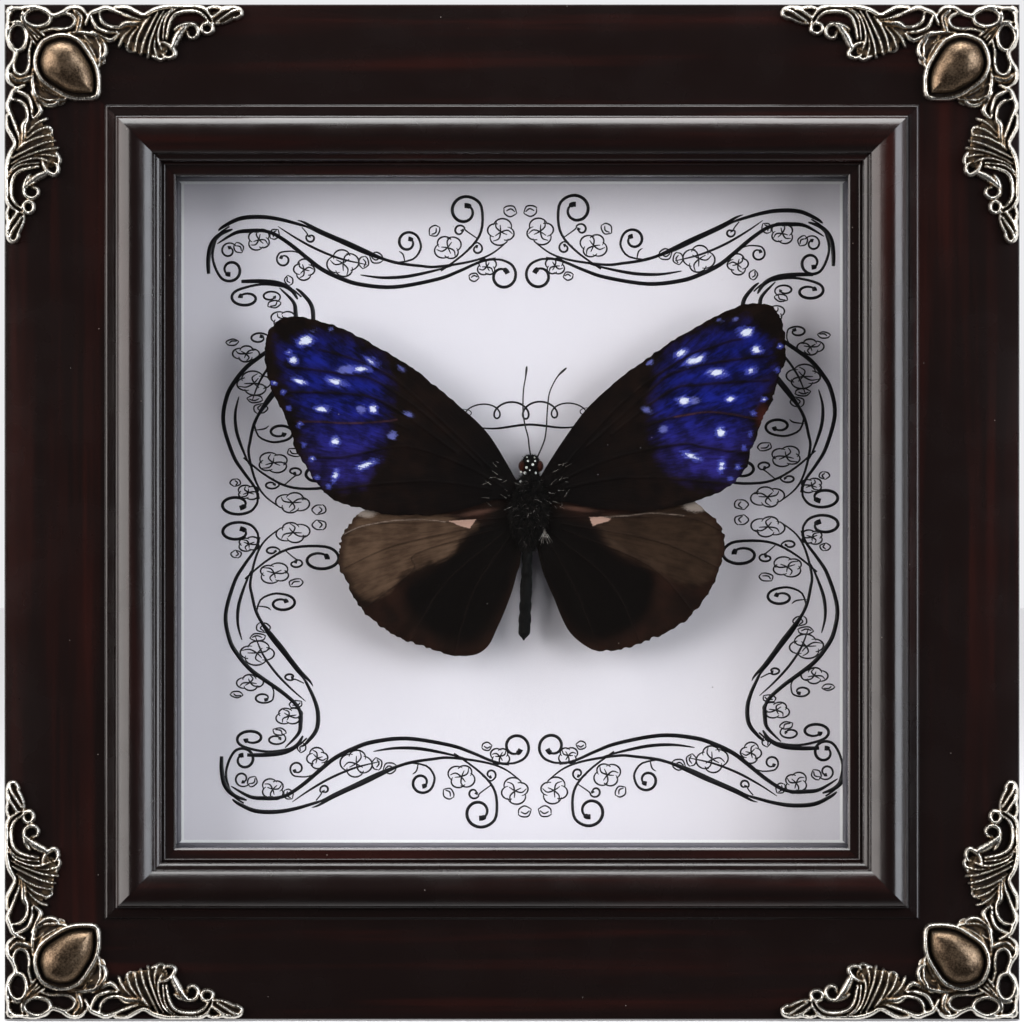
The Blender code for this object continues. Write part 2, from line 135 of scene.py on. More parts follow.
def bandFaces(rows, count, start=0, wrap=True, flip=False):
    # squares between each row of points and the next
    faces = []
    for row in range(rows - 1):
        for step in range(count if wrap else count - 1):
            a = start + row * count + step
            b = start + row * count + (step + 1) % count
            faces.append((a, a + count, b + count, b) if flip else (a, b, b + count, a + count))
    return faces


def fanFaces(start, count, tip, flip=False):
    # triangles between a ring of points and a tip
    pairs = [(start + step, start + (step + 1) % count) for step in range(count)]
    return [(b, a, tip) if flip else (a, b, tip) for a, b in pairs]


def finishPiece(piece, slot, *nodes):
    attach(piece, "root")
    if nodes:
        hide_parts(*nodes)


# Lines and fields

def smoothLine(controls, perSpan=8, closed=False):
    # a Catmull-Rom line through the controls; any further columns, such as a width, are carried along it
    controls = np.asarray(controls, float)
    count = len(controls)
    spans = np.arange(count if closed else count - 1)
    picks = [spans - 1, spans, spans + 1, spans + 2]
    picks = [pick % count if closed else np.clip(pick, 0, count - 1) for pick in picks]
    before, start, end, after = [controls[pick][:, None, :] for pick in picks]
    t = (np.arange(perSpan) / perSpan)[None, :, None]
    line = 0.5 * (
        2 * start
        + (end - before) * t
        + (2 * before - 5 * start + 4 * end - after) * t**2
        + (3 * start - before - 3 * end + after) * t**3
    )
    line = line.reshape(-1, controls.shape[1])
    return line if closed else np.vstack([line, controls[-1]])


def ringLine(centre, radii, start=0.0, sweep=360.0, steps=36):
    angles = np.radians(start + sweep * np.arange(steps + 1) / steps)
    return np.column_stack([centre[0] + radii[0] * np.cos(angles), centre[1] + radii[1] * np.sin(angles)])


def spiralLine(centre, outer, inner, start, turns, steps=40):
    # winds inward from the outer radius; negative turns wind clockwise
    t = np.arange(steps + 1) / steps
    radius = outer + (inner - outer) * t**0.8
    angles = math.radians(start) + 2 * math.pi * turns * t
    return np.column_stack([centre[0] + radius * np.cos(angles), centre[1] + radius * np.sin(angles)])


def distanceTo(points, line):
    # how far each point is from a line, and the share of the line's points passed there
    best = np.full(len(points), 1e9)
    share = np.zeros(len(points))
    last = len(line) - 1
    for index in range(last):
        start = line[index, :2]
        step = line[index + 1, :2] - start
        t = np.clip((points - start) @ step / max(step @ step, 1e-12), 0, 1)
        away = np.hypot(*(points - start - t[:, None] * step).T)
        nearer = away < best
        best[nearer] = away[nearer]
        share[nearer] = ((index + t) / last)[nearer]
    return best, share


def signedDistance(points, loop):
    # positive inside a closed loop
    ring = np.vstack([loop, loop[:1]])
    away, _ = distanceTo(points, ring)
    inside = np.zeros(len(points), bool)
    for (x0, z0), (x1, z1) in zip(ring[:-1], ring[1:]):
        if z0 == z1:
            continue
        crosses = (points[:, 1] < z0) != (points[:, 1] < z1)
        inside ^= crosses & (points[:, 0] < x0 + (points[:, 1] - z0) * (x1 - x0) / (z1 - z0))
    return np.where(inside, away, -away)


def blurred(field, cells):
    reach = int(3 * cells) + 1
    weights = np.exp(-0.5 * (np.arange(-reach, reach + 1) / cells) ** 2)
    weights /= weights.sum()
    for axis in (0, 1):
        padded = np.pad(field, [(reach, reach) if a == axis else (0, 0) for a in (0, 1)], mode="edge")
        field = np.apply_along_axis(np.convolve, axis, padded, weights, "valid")
    return field


def roughness2d(rows, columns, cells, seed):
    # smooth random hills, from -1 to 1 or so
    hills = blurred(np.random.default_rng(seed).normal(size=(rows, columns)), cells)
    return hills / (2.5 * hills.std())


def gridOf(low, high, cell):
    xs = np.arange(low[0], high[0] + cell, cell)
    zs = np.arange(low[1], high[1] + cell, cell)
    return xs, zs, np.column_stack([np.tile(xs, len(zs)), np.repeat(zs, len(xs))])


def cutSheet(xs, zs, field):
    # the grid's squares inside the line field = 0, with the points of the rim moved onto that line
    middle = (field[:-1, :-1] + field[1:, :-1] + field[:-1, 1:] + field[1:, 1:]) / 4
    keep = middle > 0
    pinch = keep[:-1, :-1] & keep[1:, 1:] & ~keep[1:, :-1] & ~keep[:-1, 1:]
    keep[1:, :-1] |= pinch
    pinch = keep[1:, :-1] & keep[:-1, 1:] & ~keep[:-1, :-1] & ~keep[1:, 1:]
    keep[:-1, :-1] |= pinch
    slopeZ, slopeX = np.gradient(field, zs[1] - zs[0], xs[1] - xs[0])
    steep = np.maximum(slopeX**2 + slopeZ**2, 0.2)
    around = np.zeros(field.shape, int)
    for down in (0, 1):
        for right in (0, 1):
            around[down : down + keep.shape[0], right : right + keep.shape[1]] += keep
    rim = (around > 0) & (around < 4)
    most = 0.75 * (xs[1] - xs[0])
    moveX = np.where(rim, np.clip(-field * slopeX / steep, -most, most), 0)
    moveZ = np.where(rim, np.clip(-field * slopeZ / steep, -most, most), 0)
    rows, columns = np.nonzero(keep)
    wide = len(xs)
    first = rows * wide + columns
    faces = np.column_stack([first, first + 1, first + 1 + wide, first + wide])
    used, faces = np.unique(faces, return_inverse=True)
    faces = faces.reshape(-1, 4)
    x = (xs[None, :] + moveX).ravel()[used]
    z = (zs[:, None] + moveZ).ravel()[used]
    return np.column_stack([x, z]), faces, used


def closeSheet(points, faces, front, back):
    # a front and a back skin joined round the rim
    count = len(points)
    flat = np.vstack([np.column_stack([points, front]), np.column_stack([points, back])])
    starts = faces.ravel()
    ends = np.roll(faces, -1, axis=1).ravel()
    keys = np.minimum(starts, ends) * np.int64(count) + np.maximum(starts, ends)
    _, index, times = np.unique(keys, return_index=True, return_counts=True)
    rim = index[times == 1]
    a, b = starts[rim], ends[rim]
    sides = np.column_stack([b, a, a + count, b + count])
    return flat, np.vstack([faces, faces[:, ::-1] + count, sides])


# Shader maths

class Wire:
    # a socket that can be added, multiplied and so on: each sign adds a Math node
    def __init__(self, graph, socket):
        self.graph = graph
        self.socket = socket

    def __add__(self, other):
        return self.graph.maths("ADD", self, other)

    def __sub__(self, other):
        return self.graph.maths("SUBTRACT", self, other)

    def __rsub__(self, other):
        return self.graph.maths("SUBTRACT", other, self)

    def __mul__(self, other):
        return self.graph.maths("MULTIPLY", self, other)

    __radd__ = __add__
    __rmul__ = __mul__


class Graph:
    def __init__(self, name, owner=None):
        self.owner = owner or bpy.data.materials.new(name)
        if hasattr(self.owner, "interface"):
            self.tree = self.owner
        else:
            self.owner.use_nodes = True
            self.tree = self.owner.node_tree
        self.tree.nodes.clear()

    def node(self, kind, settings=None, inputs=None, out=0):
        made = self.tree.nodes.new(kind)
        for label, value in (settings or {}).items():
            setattr(made, label, value)
        for label, value in (inputs or {}).items():
            socket = made.inputs[label]
            if isinstance(value, Wire):
                self.tree.links.new(value.socket, socket)
            elif socket.type == "RGBA":
                socket.default_value = (*value[:3], 1.0)
            else:
                socket.default_value = value
        return Wire(self, made.outputs[out]) if made.outputs else made

    def maths(self, operation, *terms):
        return self.node("ShaderNodeMath", {"operation": operation}, dict(enumerate(terms)))

    def millimetres(self):
        place = self.node("ShaderNodeTexCoord", out=3)
        return self.scaled(place, 1 / mm, 1 / mm, 1 / mm)

    def scaled(self, vector, *by):
        return self.node("ShaderNodeVectorMath", {"operation": "MULTIPLY"}, {0: vector, 1: by})

    def noise(self, vector, scale, detail=2.0, roughness=0.5):
        inputs = {"Vector": vector, "Scale": scale, "Detail": detail, "Roughness": roughness}
        return self.node("ShaderNodeTexNoise", None, inputs)

    def cells(self, vector, scale, out=0):
        return self.node("ShaderNodeTexVoronoi", {"feature": "F1"}, {"Vector": vector, "Scale": scale}, out)

    def split(self, value, out=0):
        kind = "ShaderNodeSeparateColor" if value.socket.type == "RGBA" else "ShaderNodeSeparateXYZ"
        return self.node(kind, None, {0: value}, out)

    def dots(self, vector, scale, size, share):
        # round specks in a share of the cells
        away = self.cells(vector, scale)
        pick = self.split(self.cells(vector, scale, 1))
        return self.smooth(away, size, size * 0.6) * self.smooth(pick, 1 - share, 1 - share + 0.02)

    def smooth(self, value, low, high, toLow=0.0, toHigh=1.0):
        inputs = {0: value, 1: low, 2: high, 3: toLow, 4: toHigh}
        return self.node("ShaderNodeMapRange", {"interpolation_type": "SMOOTHSTEP"}, inputs)

    def spread(self, noise, low, high):
        # most of a noise's values lie between 0.3 and 0.7
        return self.smooth(noise, 0.3, 0.7, low, high)

    def blend(self, factor, first, second):
        return self.node("ShaderNodeMix", {"data_type": "RGBA"}, {0: factor, 6: first, 7: second}, 2)

    def tints(self, factor, first, second):
        return self.blend(factor, srgb(*first), srgb(*second))

    def coats(self, colour, *coats):
        # each coat is the share of it that covers, and its colour
        for share, *levels in coats:
            colour = self.blend(share, colour, srgb(*levels))
        return colour

    def value(self, label):
        return self.node("ShaderNodeAttribute", {"attribute_name": label}, None, 2)

    def surface(self, colour, roughness, height=None, more=None):
        inputs = {"Base Color": colour, "Roughness": roughness, **(more or {})}
        if height is not None:
            bump = {"Height": height, "Distance": mm, "Strength": 1.0}
            inputs["Normal"] = self.node("ShaderNodeBump", None, bump)
        return self.output(self.node("ShaderNodeBsdfPrincipled", None, inputs))

    def output(self, shader, kind="Material"):
        self.node(f"ShaderNodeOutput{kind}", None, {"Surface": shader})
        return self.owner


def srgb(*levels):
    # a colour given as 0 to 255 display levels
    shares = [level / 255 for level in levels]
    return tuple(s / 12.92 if s <= 0.04045 else ((s + 0.055) / 1.055) ** 2.4 for s in shares)


# Camera, light and floor

studio = {
    "cameraDistance": 1.4,       # metres in front of the flat band
    "lens": 294.0,
    "sensor": 36.0,
    "clip": (0.05, 20.0),
    "lampDistance": 1.2,
    "darkFront": 0.03,
    "brightBack": 0.95,
    "backdrop": srgb(236, 236, 238),
    "floor": srgb(226, 226, 228),
    "floorReach": 6.0,
    "floorGlow": 0.3,
    # name: degrees off the frame's axis to the right, degrees up, width, height, radiance, colour, shine
    "lamps": {
        "left": (-66, 14, 1.0, 1.2, 3.4, (1.0, 0.94, 0.91), True),
        "right": (60, 14, 0.62, 1.2, 4.8, (0.89, 0.93, 1.0), True),
        "top": (0, 86, 1.1, 0.75, 7.0, (1.0, 1.0, 1.0), True),
        "fillLeft": (-36, 2, 0.5, 0.9, 7.2, (1.0, 0.975, 0.99), False),
        "fillRight": (36, 2, 0.5, 0.9, 6.6, (1.0, 0.975, 0.99), False),
        "fillFront": (0, 24, 0.5, 0.35, 2.2, (1.0, 0.975, 0.99), False),
    },
}


def makeCamera():
    data = bpy.data.cameras.new("camera")
    data.lens = studio["lens"]
    data.sensor_width = studio["sensor"]
    data.clip_start, data.clip_end = studio["clip"]
    camera = linkObject("camera", data)
    camera.location = (0.0, bandY - studio["cameraDistance"], centreZ)
    camera.rotation_euler = (math.radians(90), 0.0, 0.0)
    bpy.context.scene.camera = camera


def makeLamps():
    target = Vector((0.0, bandY, centreZ))
    for name, (across, up, width, height, radiance, colour, shine) in studio["lamps"].items():
        across, up = math.radians(across), math.radians(up)
        away = Vector((math.sin(across) * math.cos(up), -math.cos(across) * math.cos(up), math.sin(up)))
        data = bpy.data.lights.new(f"{name}Lamp", "AREA")
        data.shape = "RECTANGLE"
        data.size, data.size_y = width, height
        data.energy = radiance * math.pi * width * height
        data.color = colour
        lamp = linkObject(f"{name}Lamp", data)
        lamp.location = target + away * studio["lampDistance"]
        lamp.rotation_euler = away.to_track_quat("Z", "Y").to_euler()
        lamp.visible_camera = False
        lamp.visible_glossy = shine


def makeWorld():
    world = bpy.data.worlds.new("studio")
    bpy.context.scene.world = world
    g = Graph("studio", world)
    across = g.split(g.node("ShaderNodeTexCoord"), 1)
    level = g.smooth(across, -0.35, 0.1, studio["darkFront"], studio["brightBack"])
    seen = g.node("ShaderNodeLightPath")
    ambient = g.node("ShaderNodeBackground", None, {"Color": (1.0, 0.99, 1.0), "Strength": level})
    pale = g.node("ShaderNodeBackground", None, {"Color": studio["backdrop"], "Strength": 1.0})
    g.output(g.node("ShaderNodeMixShader", None, {0: seen, 1: ambient, 2: pale}), "World")


def makeFloor():
    reach = studio["floorReach"]
    mesh = bpy.data.meshes.new("floor")
    low = cadLow.z - 0.0002
    corners = [(-reach, -reach, low), (reach, -reach, low), (reach, reach, low), (-reach, reach, low)]
    mesh.from_pydata(corners, [], [(0, 1, 2, 3)])
    g = Graph("floorPaint")
    grain = g.noise(g.millimetres(), 0.02, 3.0)
    colour = g.blend(grain, studio["floor"], tuple(0.97 * level for level in studio["floor"]))
    glow = {"Emission Color": studio["floor"], "Emission Strength": studio["floorGlow"]}
    mesh.materials.append(g.surface(colour, 0.7, None, glow))
    floor = linkObject("floor", mesh)
    floor.visible_glossy = False
    floor.visible_diffuse = False


makeCamera()
makeLamps()
makeWorld()
makeFloor()
bpy.context.scene.view_settings.view_transform = "Standard"
print("studio ready")


# Frame rails

rail = {
    "depth": 27.0,
    "chamfer": 0.4,
    "bandWidth": 16.9,
    "joint": 0.14,              # how far the shaded joint runs in from each mitre
    "lipEdge": 28.7,
    "lipThickness": 3.0,
    "rebateWall": 24.7,
    "stations": 24,
    "darkStain": (20, 12, 11),
    "redStain": (39, 16, 13),
    "rawWood": (124, 88, 60),
    "rawGrain": (58, 36, 24),
}


def arc(centre, radii, start, end, steps):
    line = ringLine(centre, radii, start, end - start, steps)
    return [tuple(point) for point in line]


def railSection():
    # widths run inward from the outer edge; from the back's outer corner round the front to the rebate
    band, back, chamfer = rail["bandWidth"], -rail["depth"], rail["chamfer"]
    section = [(0.5, back), (0.15, back + 0.15), (0.0, back + 0.5), (0.0, -10.0), (0.0, -chamfer)]
    section += [(0.12, -0.1), (chamfer, 0.0), (8.0, 0.0), (band - 0.06, 0.0), (band, 0.06)]
    fillet = [(16.93, 0.2), (17.03, 0.46), (17.2, 0.6), (17.6, 0.69), (18.1, 0.8), (18.5, 0.9)]
    section += [tuple(point) for point in smoothLine(fillet, 3)]
    section += [(18.62, 0.86), (18.72, 0.84), (18.84, 0.94), (18.9, 1.4), (18.95, 2.2)]
    crown = [(19.02, 2.8), (19.2, 3.06), (19.6, 3.42), (20.1, 3.78), (20.6, 4.06), (21.1, 4.28), (21.6, 4.39),
             (22.1, 4.39), (22.6, 4.28), (23.1, 4.1), (23.6, 3.89), (24.05, 3.65), (24.5, 3.36), (24.9, 3.05)]
    section += [tuple(point) for point in smoothLine(crown, 3)]
    section += [(25.04, 2.86), (25.1, 2.4), (25.2, 2.24)]
    section += arc((25.0, 0.9), (1.45, 1.3), 76, 8, 12)
    section += [(26.47, 0.62)] + arc((26.73, 0.58), (0.25, 0.24), 165, 10, 9) + [(26.99, 0.3)]
    edge, under, wall = rail["lipEdge"], -rail["lipThickness"], rail["rebateWall"]
    section += [(27.1, 0.26), (28.42, 0.3), (edge, 0.06), (edge, -0.3), (edge, under), (wall, under),
                (wall, back)]
    return np.array(section)


def woodFinish():
    g = Graph("lacqueredWood")
    grain = g.node("ShaderNodeUVMap", {"uv_map": "grain"})
    streaks = g.noise(g.scaled(grain, 9.0, 260.0, 1.0), 1.0, 5.0, 0.55)
    pores = g.noise(g.scaled(grain, 160.0, 5200.0, 1.0), 1.0)
    glow = g.noise(g.scaled(grain, 14.0, 60.0, 1.0), 1.0)
    red = g.smooth(streaks * 0.65 + glow * 0.35, 0.47, 0.68)
    colour = g.tints(red, rail["darkStain"], rail["redStain"])
    colour = g.coats(colour, (g.smooth(pores, 0.58, 0.72) * 0.45, 10, 7, 6))
    raw = g.value("raw")
    lines = g.smooth(streaks + (pores - 0.5) * 0.3, 0.38, 0.64)
    colour = g.blend(raw, colour, g.tints(lines, rail["rawWood"], rail["rawGrain"]))
    dust = g.dots(g.millimetres(), 0.42, 0.045, 0.16)
    colour = g.coats(colour, (g.value("joint"), 6, 4, 4), (dust * 0.55, 150, 140, 132))
    wear = g.noise(g.millimetres(), 0.12, 3.0)
    lacquer = {"Coat Weight": (1 - raw) * 0.45, "Coat Roughness": 0.16, "Specular IOR Level": 0.5}
    roughness = g.spread(wear, 0.2, 0.3) + raw * 0.45
    return g.surface(colour, roughness, pores * 0.012 + streaks * 0.02 + dust * 0.03, lacquer)


def makeRails():
    section = railSection()
    inward, rise = section.T
    count = len(section)
    girth = np.concatenate([[0.0], np.cumsum(np.hypot(*np.diff(section, axis=0).T))])
    bare = (rise < -4.0) & (inward > 20) | (rise <= -rail["depth"])
    full = halfSide - inward
    finish = woodFinish()
    last = rail["stations"]
    for quarter, side in enumerate(quarterSides):
        rows, grain, joint = [], [], []
        for station in range(last + 1):
            share = 2 * (station - 1) / (last - 2) - 1
            x = np.clip(share * full, rail["joint"] - full, full - rail["joint"])
            if station in (0, last):
                x = math.copysign(1.0, share) * full
            joint.append(np.full(count, float(station in (0, last))))
            rows.append(np.column_stack([*quarterTurned(x, inward - halfSide, quarter), rise]))
            grain.append(np.column_stack([x + 400 * quarter, girth]) * mm)
        faces = bandFaces(last + 1, count, flip=True) + [tuple(range(count))]
        faces.append(tuple(last * count + index for index in reversed(range(count))))
        values = {"raw": np.tile(bare, last + 1), "joint": np.concatenate(joint)}
        piece = addPiece(f"{side}Rail", np.vstack(rows), faces, finish, values, np.vstack(grain), 30.0)
        finishPiece(piece, "frame_wood", f"rail_{side}")


makeRails()
print("rails ready")


# Corner ornaments, drawn from the frame's corner: along one edge, then inward

ornament = {
    "cell": 0.15,
    "foot": 0.3,          # depth of the casting's back
    "plate": 0.85,        # depth of its lowest front
    "margin": 0.1,        # plate left round each stroke
    "soften": 0.55,
    "endTaper": 0.62,     # width of a stroke's ends as a share of its middle
    "rimHeight": 1.25,
    "rimHalf": 0.5,
    "domeTop": 3.85,
    "domeEdge": 0.85,     # where the dome starts inside its rim
    "domeReach": 4.55,    # from there to its ridge
    "fineGrain": 0.035,
    "waves": 0.05,
}
# width, height above the plate, closed or not, points along the stroke
ornamentStrokes = [
    (1.2, 0.7, False, [(0.9, 0.9), (1.6, 1.0)]),
    (0.75, 0.9, True, [tuple(p) for p in ringLine((5.6, 2.3), (2.2, 1.5), steps=12)[:-1]]),
    (0.8, 1.0, False, [
        (1.4, 0.8), (3.0, 0.75), (4.9, 0.55), (6.2, 0.85), (7.2, 1.4), (8.2, 2.0), (9.7, 1.55),
        (10.8, 0.85), (11.8, 0.6), (12.8, 0.8), (13.6, 1.55), (14.2, 2.5),
    ]),
    (0.75, 0.9, False, [
        (7.9, 2.3), (10.1, 1.6), (11.5, 2.0), (11.95, 2.9), (11.3, 3.9), (9.7, 4.3), (8.2, 4.2), (6.3, 4.6),
    ]),
    (1.3, 0.9, False, [(11.8, 1.1), (12.8, 2.2), (12.6, 3.5), (12.2, 4.6)]),
    (0.7, 0.9, False, [(1.2, 3.2), (2.4, 3.0), (3.6, 3.6), (4.4, 4.6), (5.6, 6.0)]),
    (0.6, 0.7, False, [(4.0, 3.4), (5.7, 4.5), (6.8, 5.3)]),
    (0.85, 1.1, False, [
        (13.6, 3.4), (14.2, 2.2), (14.7, 1.55), (16.0, 1.05), (16.9, 0.7), (17.8, 0.86), (19.4, 1.5),
        (21.1, 2.1),
    ]),
    (0.7, 0.9, False, [(16.0, 1.5), (16.3, 2.8), (17.4, 3.75), (19.0, 3.95), (20.1, 3.6), (21.1, 3.35)]),
    (0.8, 1.0, False, [(14.6, 2.1), (15.0, 3.2), (15.8, 4.2), (17.4, 4.7), (18.9, 4.7)]),
    (0.9, 0.8, False, [(14.6, 4.7), (15.8, 5.2), (17.8, 6.1), (19.2, 5.0)]),
    (0.8, 1.0, False, [
        (18.6, 0.62), (20.5, 0.6), (21.9, 1.27), (23.4, 1.9), (25.0, 1.13), (26.3, 0.72), (27.7, 0.5),
        (29.4, 0.5), (31.2, 0.5), (33.0, 0.65), (34.1, 1.4), (34.8, 2.5), (34.9, 3.3),
    ]),
    (0.6, 0.8, False, [(19.4, 1.6), (21.1, 2.2), (22.9, 2.66), (24.2, 2.4)]),
    (1.3, 0.9, False, [(19.4, 3.9), (20.5, 3.35), (22.2, 3.3), (23.8, 3.0)]),
    (0.55, 0.9, False, [(19.2, 7.2), (19.8, 5.8), (20.7, 4.7), (21.6, 4.0)]),
    (0.55, 1.0, False, [(20.6, 7.4), (21.2, 5.6), (22.0, 4.5), (22.8, 3.6)]),
    (0.55, 1.1, False, [(21.9, 8.0), (22.4, 5.5), (23.4, 3.5), (24.4, 2.2)]),
    (0.55, 1.2, False, [(22.9, 8.5), (23.5, 6.1), (25.0, 2.9), (25.8, 1.4)]),
    (0.55, 1.1, False, [(24.1, 9.0), (24.4, 6.8), (25.0, 4.9), (25.9, 2.7), (26.8, 1.2)]),
    (0.5, 1.0, False, [(25.6, 8.9), (25.2, 7.1), (25.4, 5.2)]),
    (0.55, 1.2, False, [(26.4, 7.6), (25.9, 6.3), (25.9, 4.6), (26.8, 2.1), (28.2, 0.9)]),
    (0.6, 1.1, False, [(26.6, 5.9), (26.9, 3.2), (27.7, 1.7), (29.1, 0.7)]),
    (0.8, 0.8, False, [
        (25.7, 6.3), (27.2, 6.7), (28.1, 7.4), (28.6, 8.3), (28.2, 8.9), (27.2, 9.0), (26.6, 8.5),
    ]),
    (0.6, 0.7, False, [(24.8, 8.7), (26.2, 9.3), (27.2, 8.9)]),
    (0.8, 1.1, False, [
        (27.2, 5.8), (27.6, 3.5), (28.4, 2.0), (29.7, 1.35), (31.3, 1.2), (32.6, 1.4), (33.6, 2.1),
        (34.3, 3.1),
    ]),
    (0.7, 0.9, True, [tuple(p) for p in ringLine((34.0, 4.1), (0.95, 0.85), steps=10)[:-1]]),
    (0.75, 0.9, False, [
        (28.6, 4.3), (29.3, 3.8), (30.4, 3.4), (31.6, 3.4), (32.3, 3.9), (32.5, 4.9), (31.75, 5.7),
        (30.9, 5.5), (30.7, 4.8),
    ]),
    (1.4, 1.0, False, [(28.2, 7.2), (28.9, 5.7), (29.7, 4.5), (30.5, 3.7)]),
    (0.7, 0.9, False, [
        (33.9, 0.9), (35.1, 0.6), (36.5, 0.75), (37.9, 0.62), (39.0, 0.8), (39.6, 1.2), (39.7, 1.8),
        (39.0, 2.3), (38.3, 2.4), (37.3, 2.9), (36.1, 3.3), (35.2, 3.3),
    ]),
    (0.7, 1.2, False, [(34.7, 2.4), (35.6, 1.8), (36.7, 1.1), (37.8, 0.9)]),
    (0.7, 1.2, False, [(35.6, 3.0), (37.1, 2.0), (38.2, 1.3), (39.1, 1.1)]),
    (0.9, 0.9, False, [
        (10.7, 4.9), (13.2, 4.8), (15.3, 5.3), (16.5, 6.4), (17.0, 7.65), (16.6, 8.9), (15.8, 9.3),
    ]),
    (0.7, 0.9, False, [(12.4, 5.6), (14.0, 6.8), (15.0, 8.4), (15.6, 9.8)]),
    (0.7, 0.9, False, [(15.4, 5.7), (16.1, 7.1), (16.1, 8.6), (15.9, 10.4)]),
    (0.6, 0.7, False, [(13.2, 4.9), (13.9, 6.0), (14.6, 6.6)]),
]
# low webs under the leaves: width, points
ornamentWebs = [
    (2.6, [(20.4, 5.2), (22.4, 5.0), (24.6, 3.6)]),
    (2.4, [(21.4, 7.0), (24.0, 7.2), (26.2, 7.6)]),
    (1.8, [(25.4, 5.6), (26.6, 2.6)]),
    (2.0, [(35.6, 2.2), (38.4, 1.6)]),
    (1.6, [(12.2, 1.6), (12.4, 4.2)]),
    (2.0, [(12.0, 5.6), (15.6, 7.2), (16.0, 9.4)]),
    (1.2, [(28.6, 6.4), (30.0, 4.2)]),
]
bossRim = [
    (5.2, 9.9), (5.9, 7.2), (7.2, 5.9), (9.9, 5.2), (12.6, 6.2), (14.6, 8.9), (15.6, 11.0), (15.9, 13.4),
    (15.5, 15.5), (13.4, 15.9), (11.0, 15.6), (8.9, 14.6), (6.2, 12.6),
]


def strokeRelief(points, field, height, width, rise, closed, controls):
    # adds one rounded stroke, thinner at its ends, to the casting's outline and height
    line = smoothLine(controls, 5, closed)
    if closed:
        line = np.vstack([line, line[:1]])
    low, high = line.min(0) - width, line.max(0) + width
    near = np.nonzero(((points > low) & (points < high)).all(1))[0]
    away, share = distanceTo(points[near], line)
    end = ornament["endTaper"]
    taper = 1.0 if closed else end + (1 - end) * np.sin(np.pi * np.clip(share * 1.1, 0, 1)) ** 0.6
    half = width / 2 * taper
    field[near] = np.maximum(field[near], half + ornament["margin"] - away)
    dome = rise * (0.75 + 0.25 * taper) * np.sqrt(np.clip(1 - (away / half) ** 2, 0, 1))
    height[near] = np.maximum(height[near], dome)


def bossRelief(points, field, height):
    # a raised rim round a teardrop dome; returns how much of each point is dome
    rim = smoothLine(bossRim, 6, closed=True)
    inside = signedDistance(points, rim)
    field[:] = np.maximum(field, inside + 0.45)
    ridge = ornament["rimHeight"] * np.sqrt(np.clip(1 - ((inside - 0.05) / ornament["rimHalf"]) ** 2, 0, 1))
    along = ((points - 9.9) @ np.array([1.0, 1.0])) / math.sqrt(2)
    deep = ornament["domeReach"] - 0.3 * np.clip(along, 0, 8)
    share = np.clip((inside - ornament["domeEdge"]) / np.maximum(deep - 1.0, 0.6), 0, 1)
    slope = 1 - 0.42 * np.clip(along / 8.0, 0, 1) ** 1.5
    top = (ornament["domeTop"] - ornament["plate"]) * slope
    dome = top * np.sqrt(np.clip(1 - (1 - share) ** 2, 0, 1))
    flatten = inside > 0.5
    height[flatten] = 0
    height[:] = np.maximum(height, np.maximum(ridge, dome))
    return np.clip((inside - 0.9) / 0.3, 0, 1)


def castRelief():
    xs, zs, points = gridOf((-0.6, -0.6), (41.4, 41.4), ornament["cell"])
    field = np.full(len(points), -3.0)
    height = np.zeros(len(points))
    for width, controls in ornamentWebs:
        line = smoothLine(controls, 5)
        away, _ = distanceTo(points, line)
        field = np.maximum(field, width / 2 - away)
        height = np.maximum(height, 0.25 * np.sqrt(np.clip(1 - (2 * away / width) ** 2, 0, 1)))
    for width, rise, closed, controls in ornamentStrokes:
        strokeRelief(points, field, height, width, rise, closed, controls)
    shape = (len(zs), len(xs))
    field, height = field.reshape(shape), height.reshape(shape)
    field, height = np.maximum(field, field.T).ravel(), np.maximum(height, height.T).ravel()
    dome = bossRelief(points, field, height).reshape(shape)
    edge = points.min(1).reshape(shape) - 0.14
    field = np.minimum(field.reshape(shape), edge)
    height = blurred(height.reshape(shape), ornament["soften"])
    grain = roughness2d(*shape, 1.2, 11) * ornament["fineGrain"] * (1 - 0.6 * dome)
    grain = grain + roughness2d(*shape, 4.0, 12) * ornament["waves"]
    height = np.maximum(height + grain * (height > 0.02), 0)
    solid = np.where(field > 0, height + 0.3, -0.5)
    cavity = np.clip((blurred(solid, 3.0) - solid) / 0.45, -1, 1)
    return xs, zs, field, height, cavity, dome


def castMetal():
    g = Graph("antiqueCasting")
    place = g.millimetres()
    cavity = g.value("cavity")
    dome = g.value("dome")
    broad = g.noise(place, 0.35, 3.0)
    fine = g.noise(place, 3.0, 4.0, 0.6)
    scratch = g.noise(g.scaled(place, 6.0, 1.0, 1.4), 1.0, 3.0)
    worn = g.smooth(cavity * -1 + (fine - 0.5) * 1.0 + (broad - 0.5) * 0.6, 0.16, 0.56)
    deep = g.smooth(cavity + (broad - 0.5) * 0.5 + (fine - 0.5) * 0.35, -0.04, 0.6)
    colour = g.coats(g.tints(worn, (132, 112, 88), (240, 235, 224)), (deep, 30, 23, 18))
    mottled = g.tints(g.smooth(fine * 0.6 + broad * 0.4, 0.36, 0.64), (78, 63, 50), (150, 128, 104))
    colour = g.blend(dome * (1 - deep * 0.7), colour, mottled)
    roughness = g.spread(scratch, 0.24, 0.36) + deep * 0.3 + dome * 0.04
    metal = {"Metallic": 1 - deep * 0.55 - dome * 0.1}
    return g.surface(colour, roughness, fine * 0.05 + scratch * 0.025, metal)


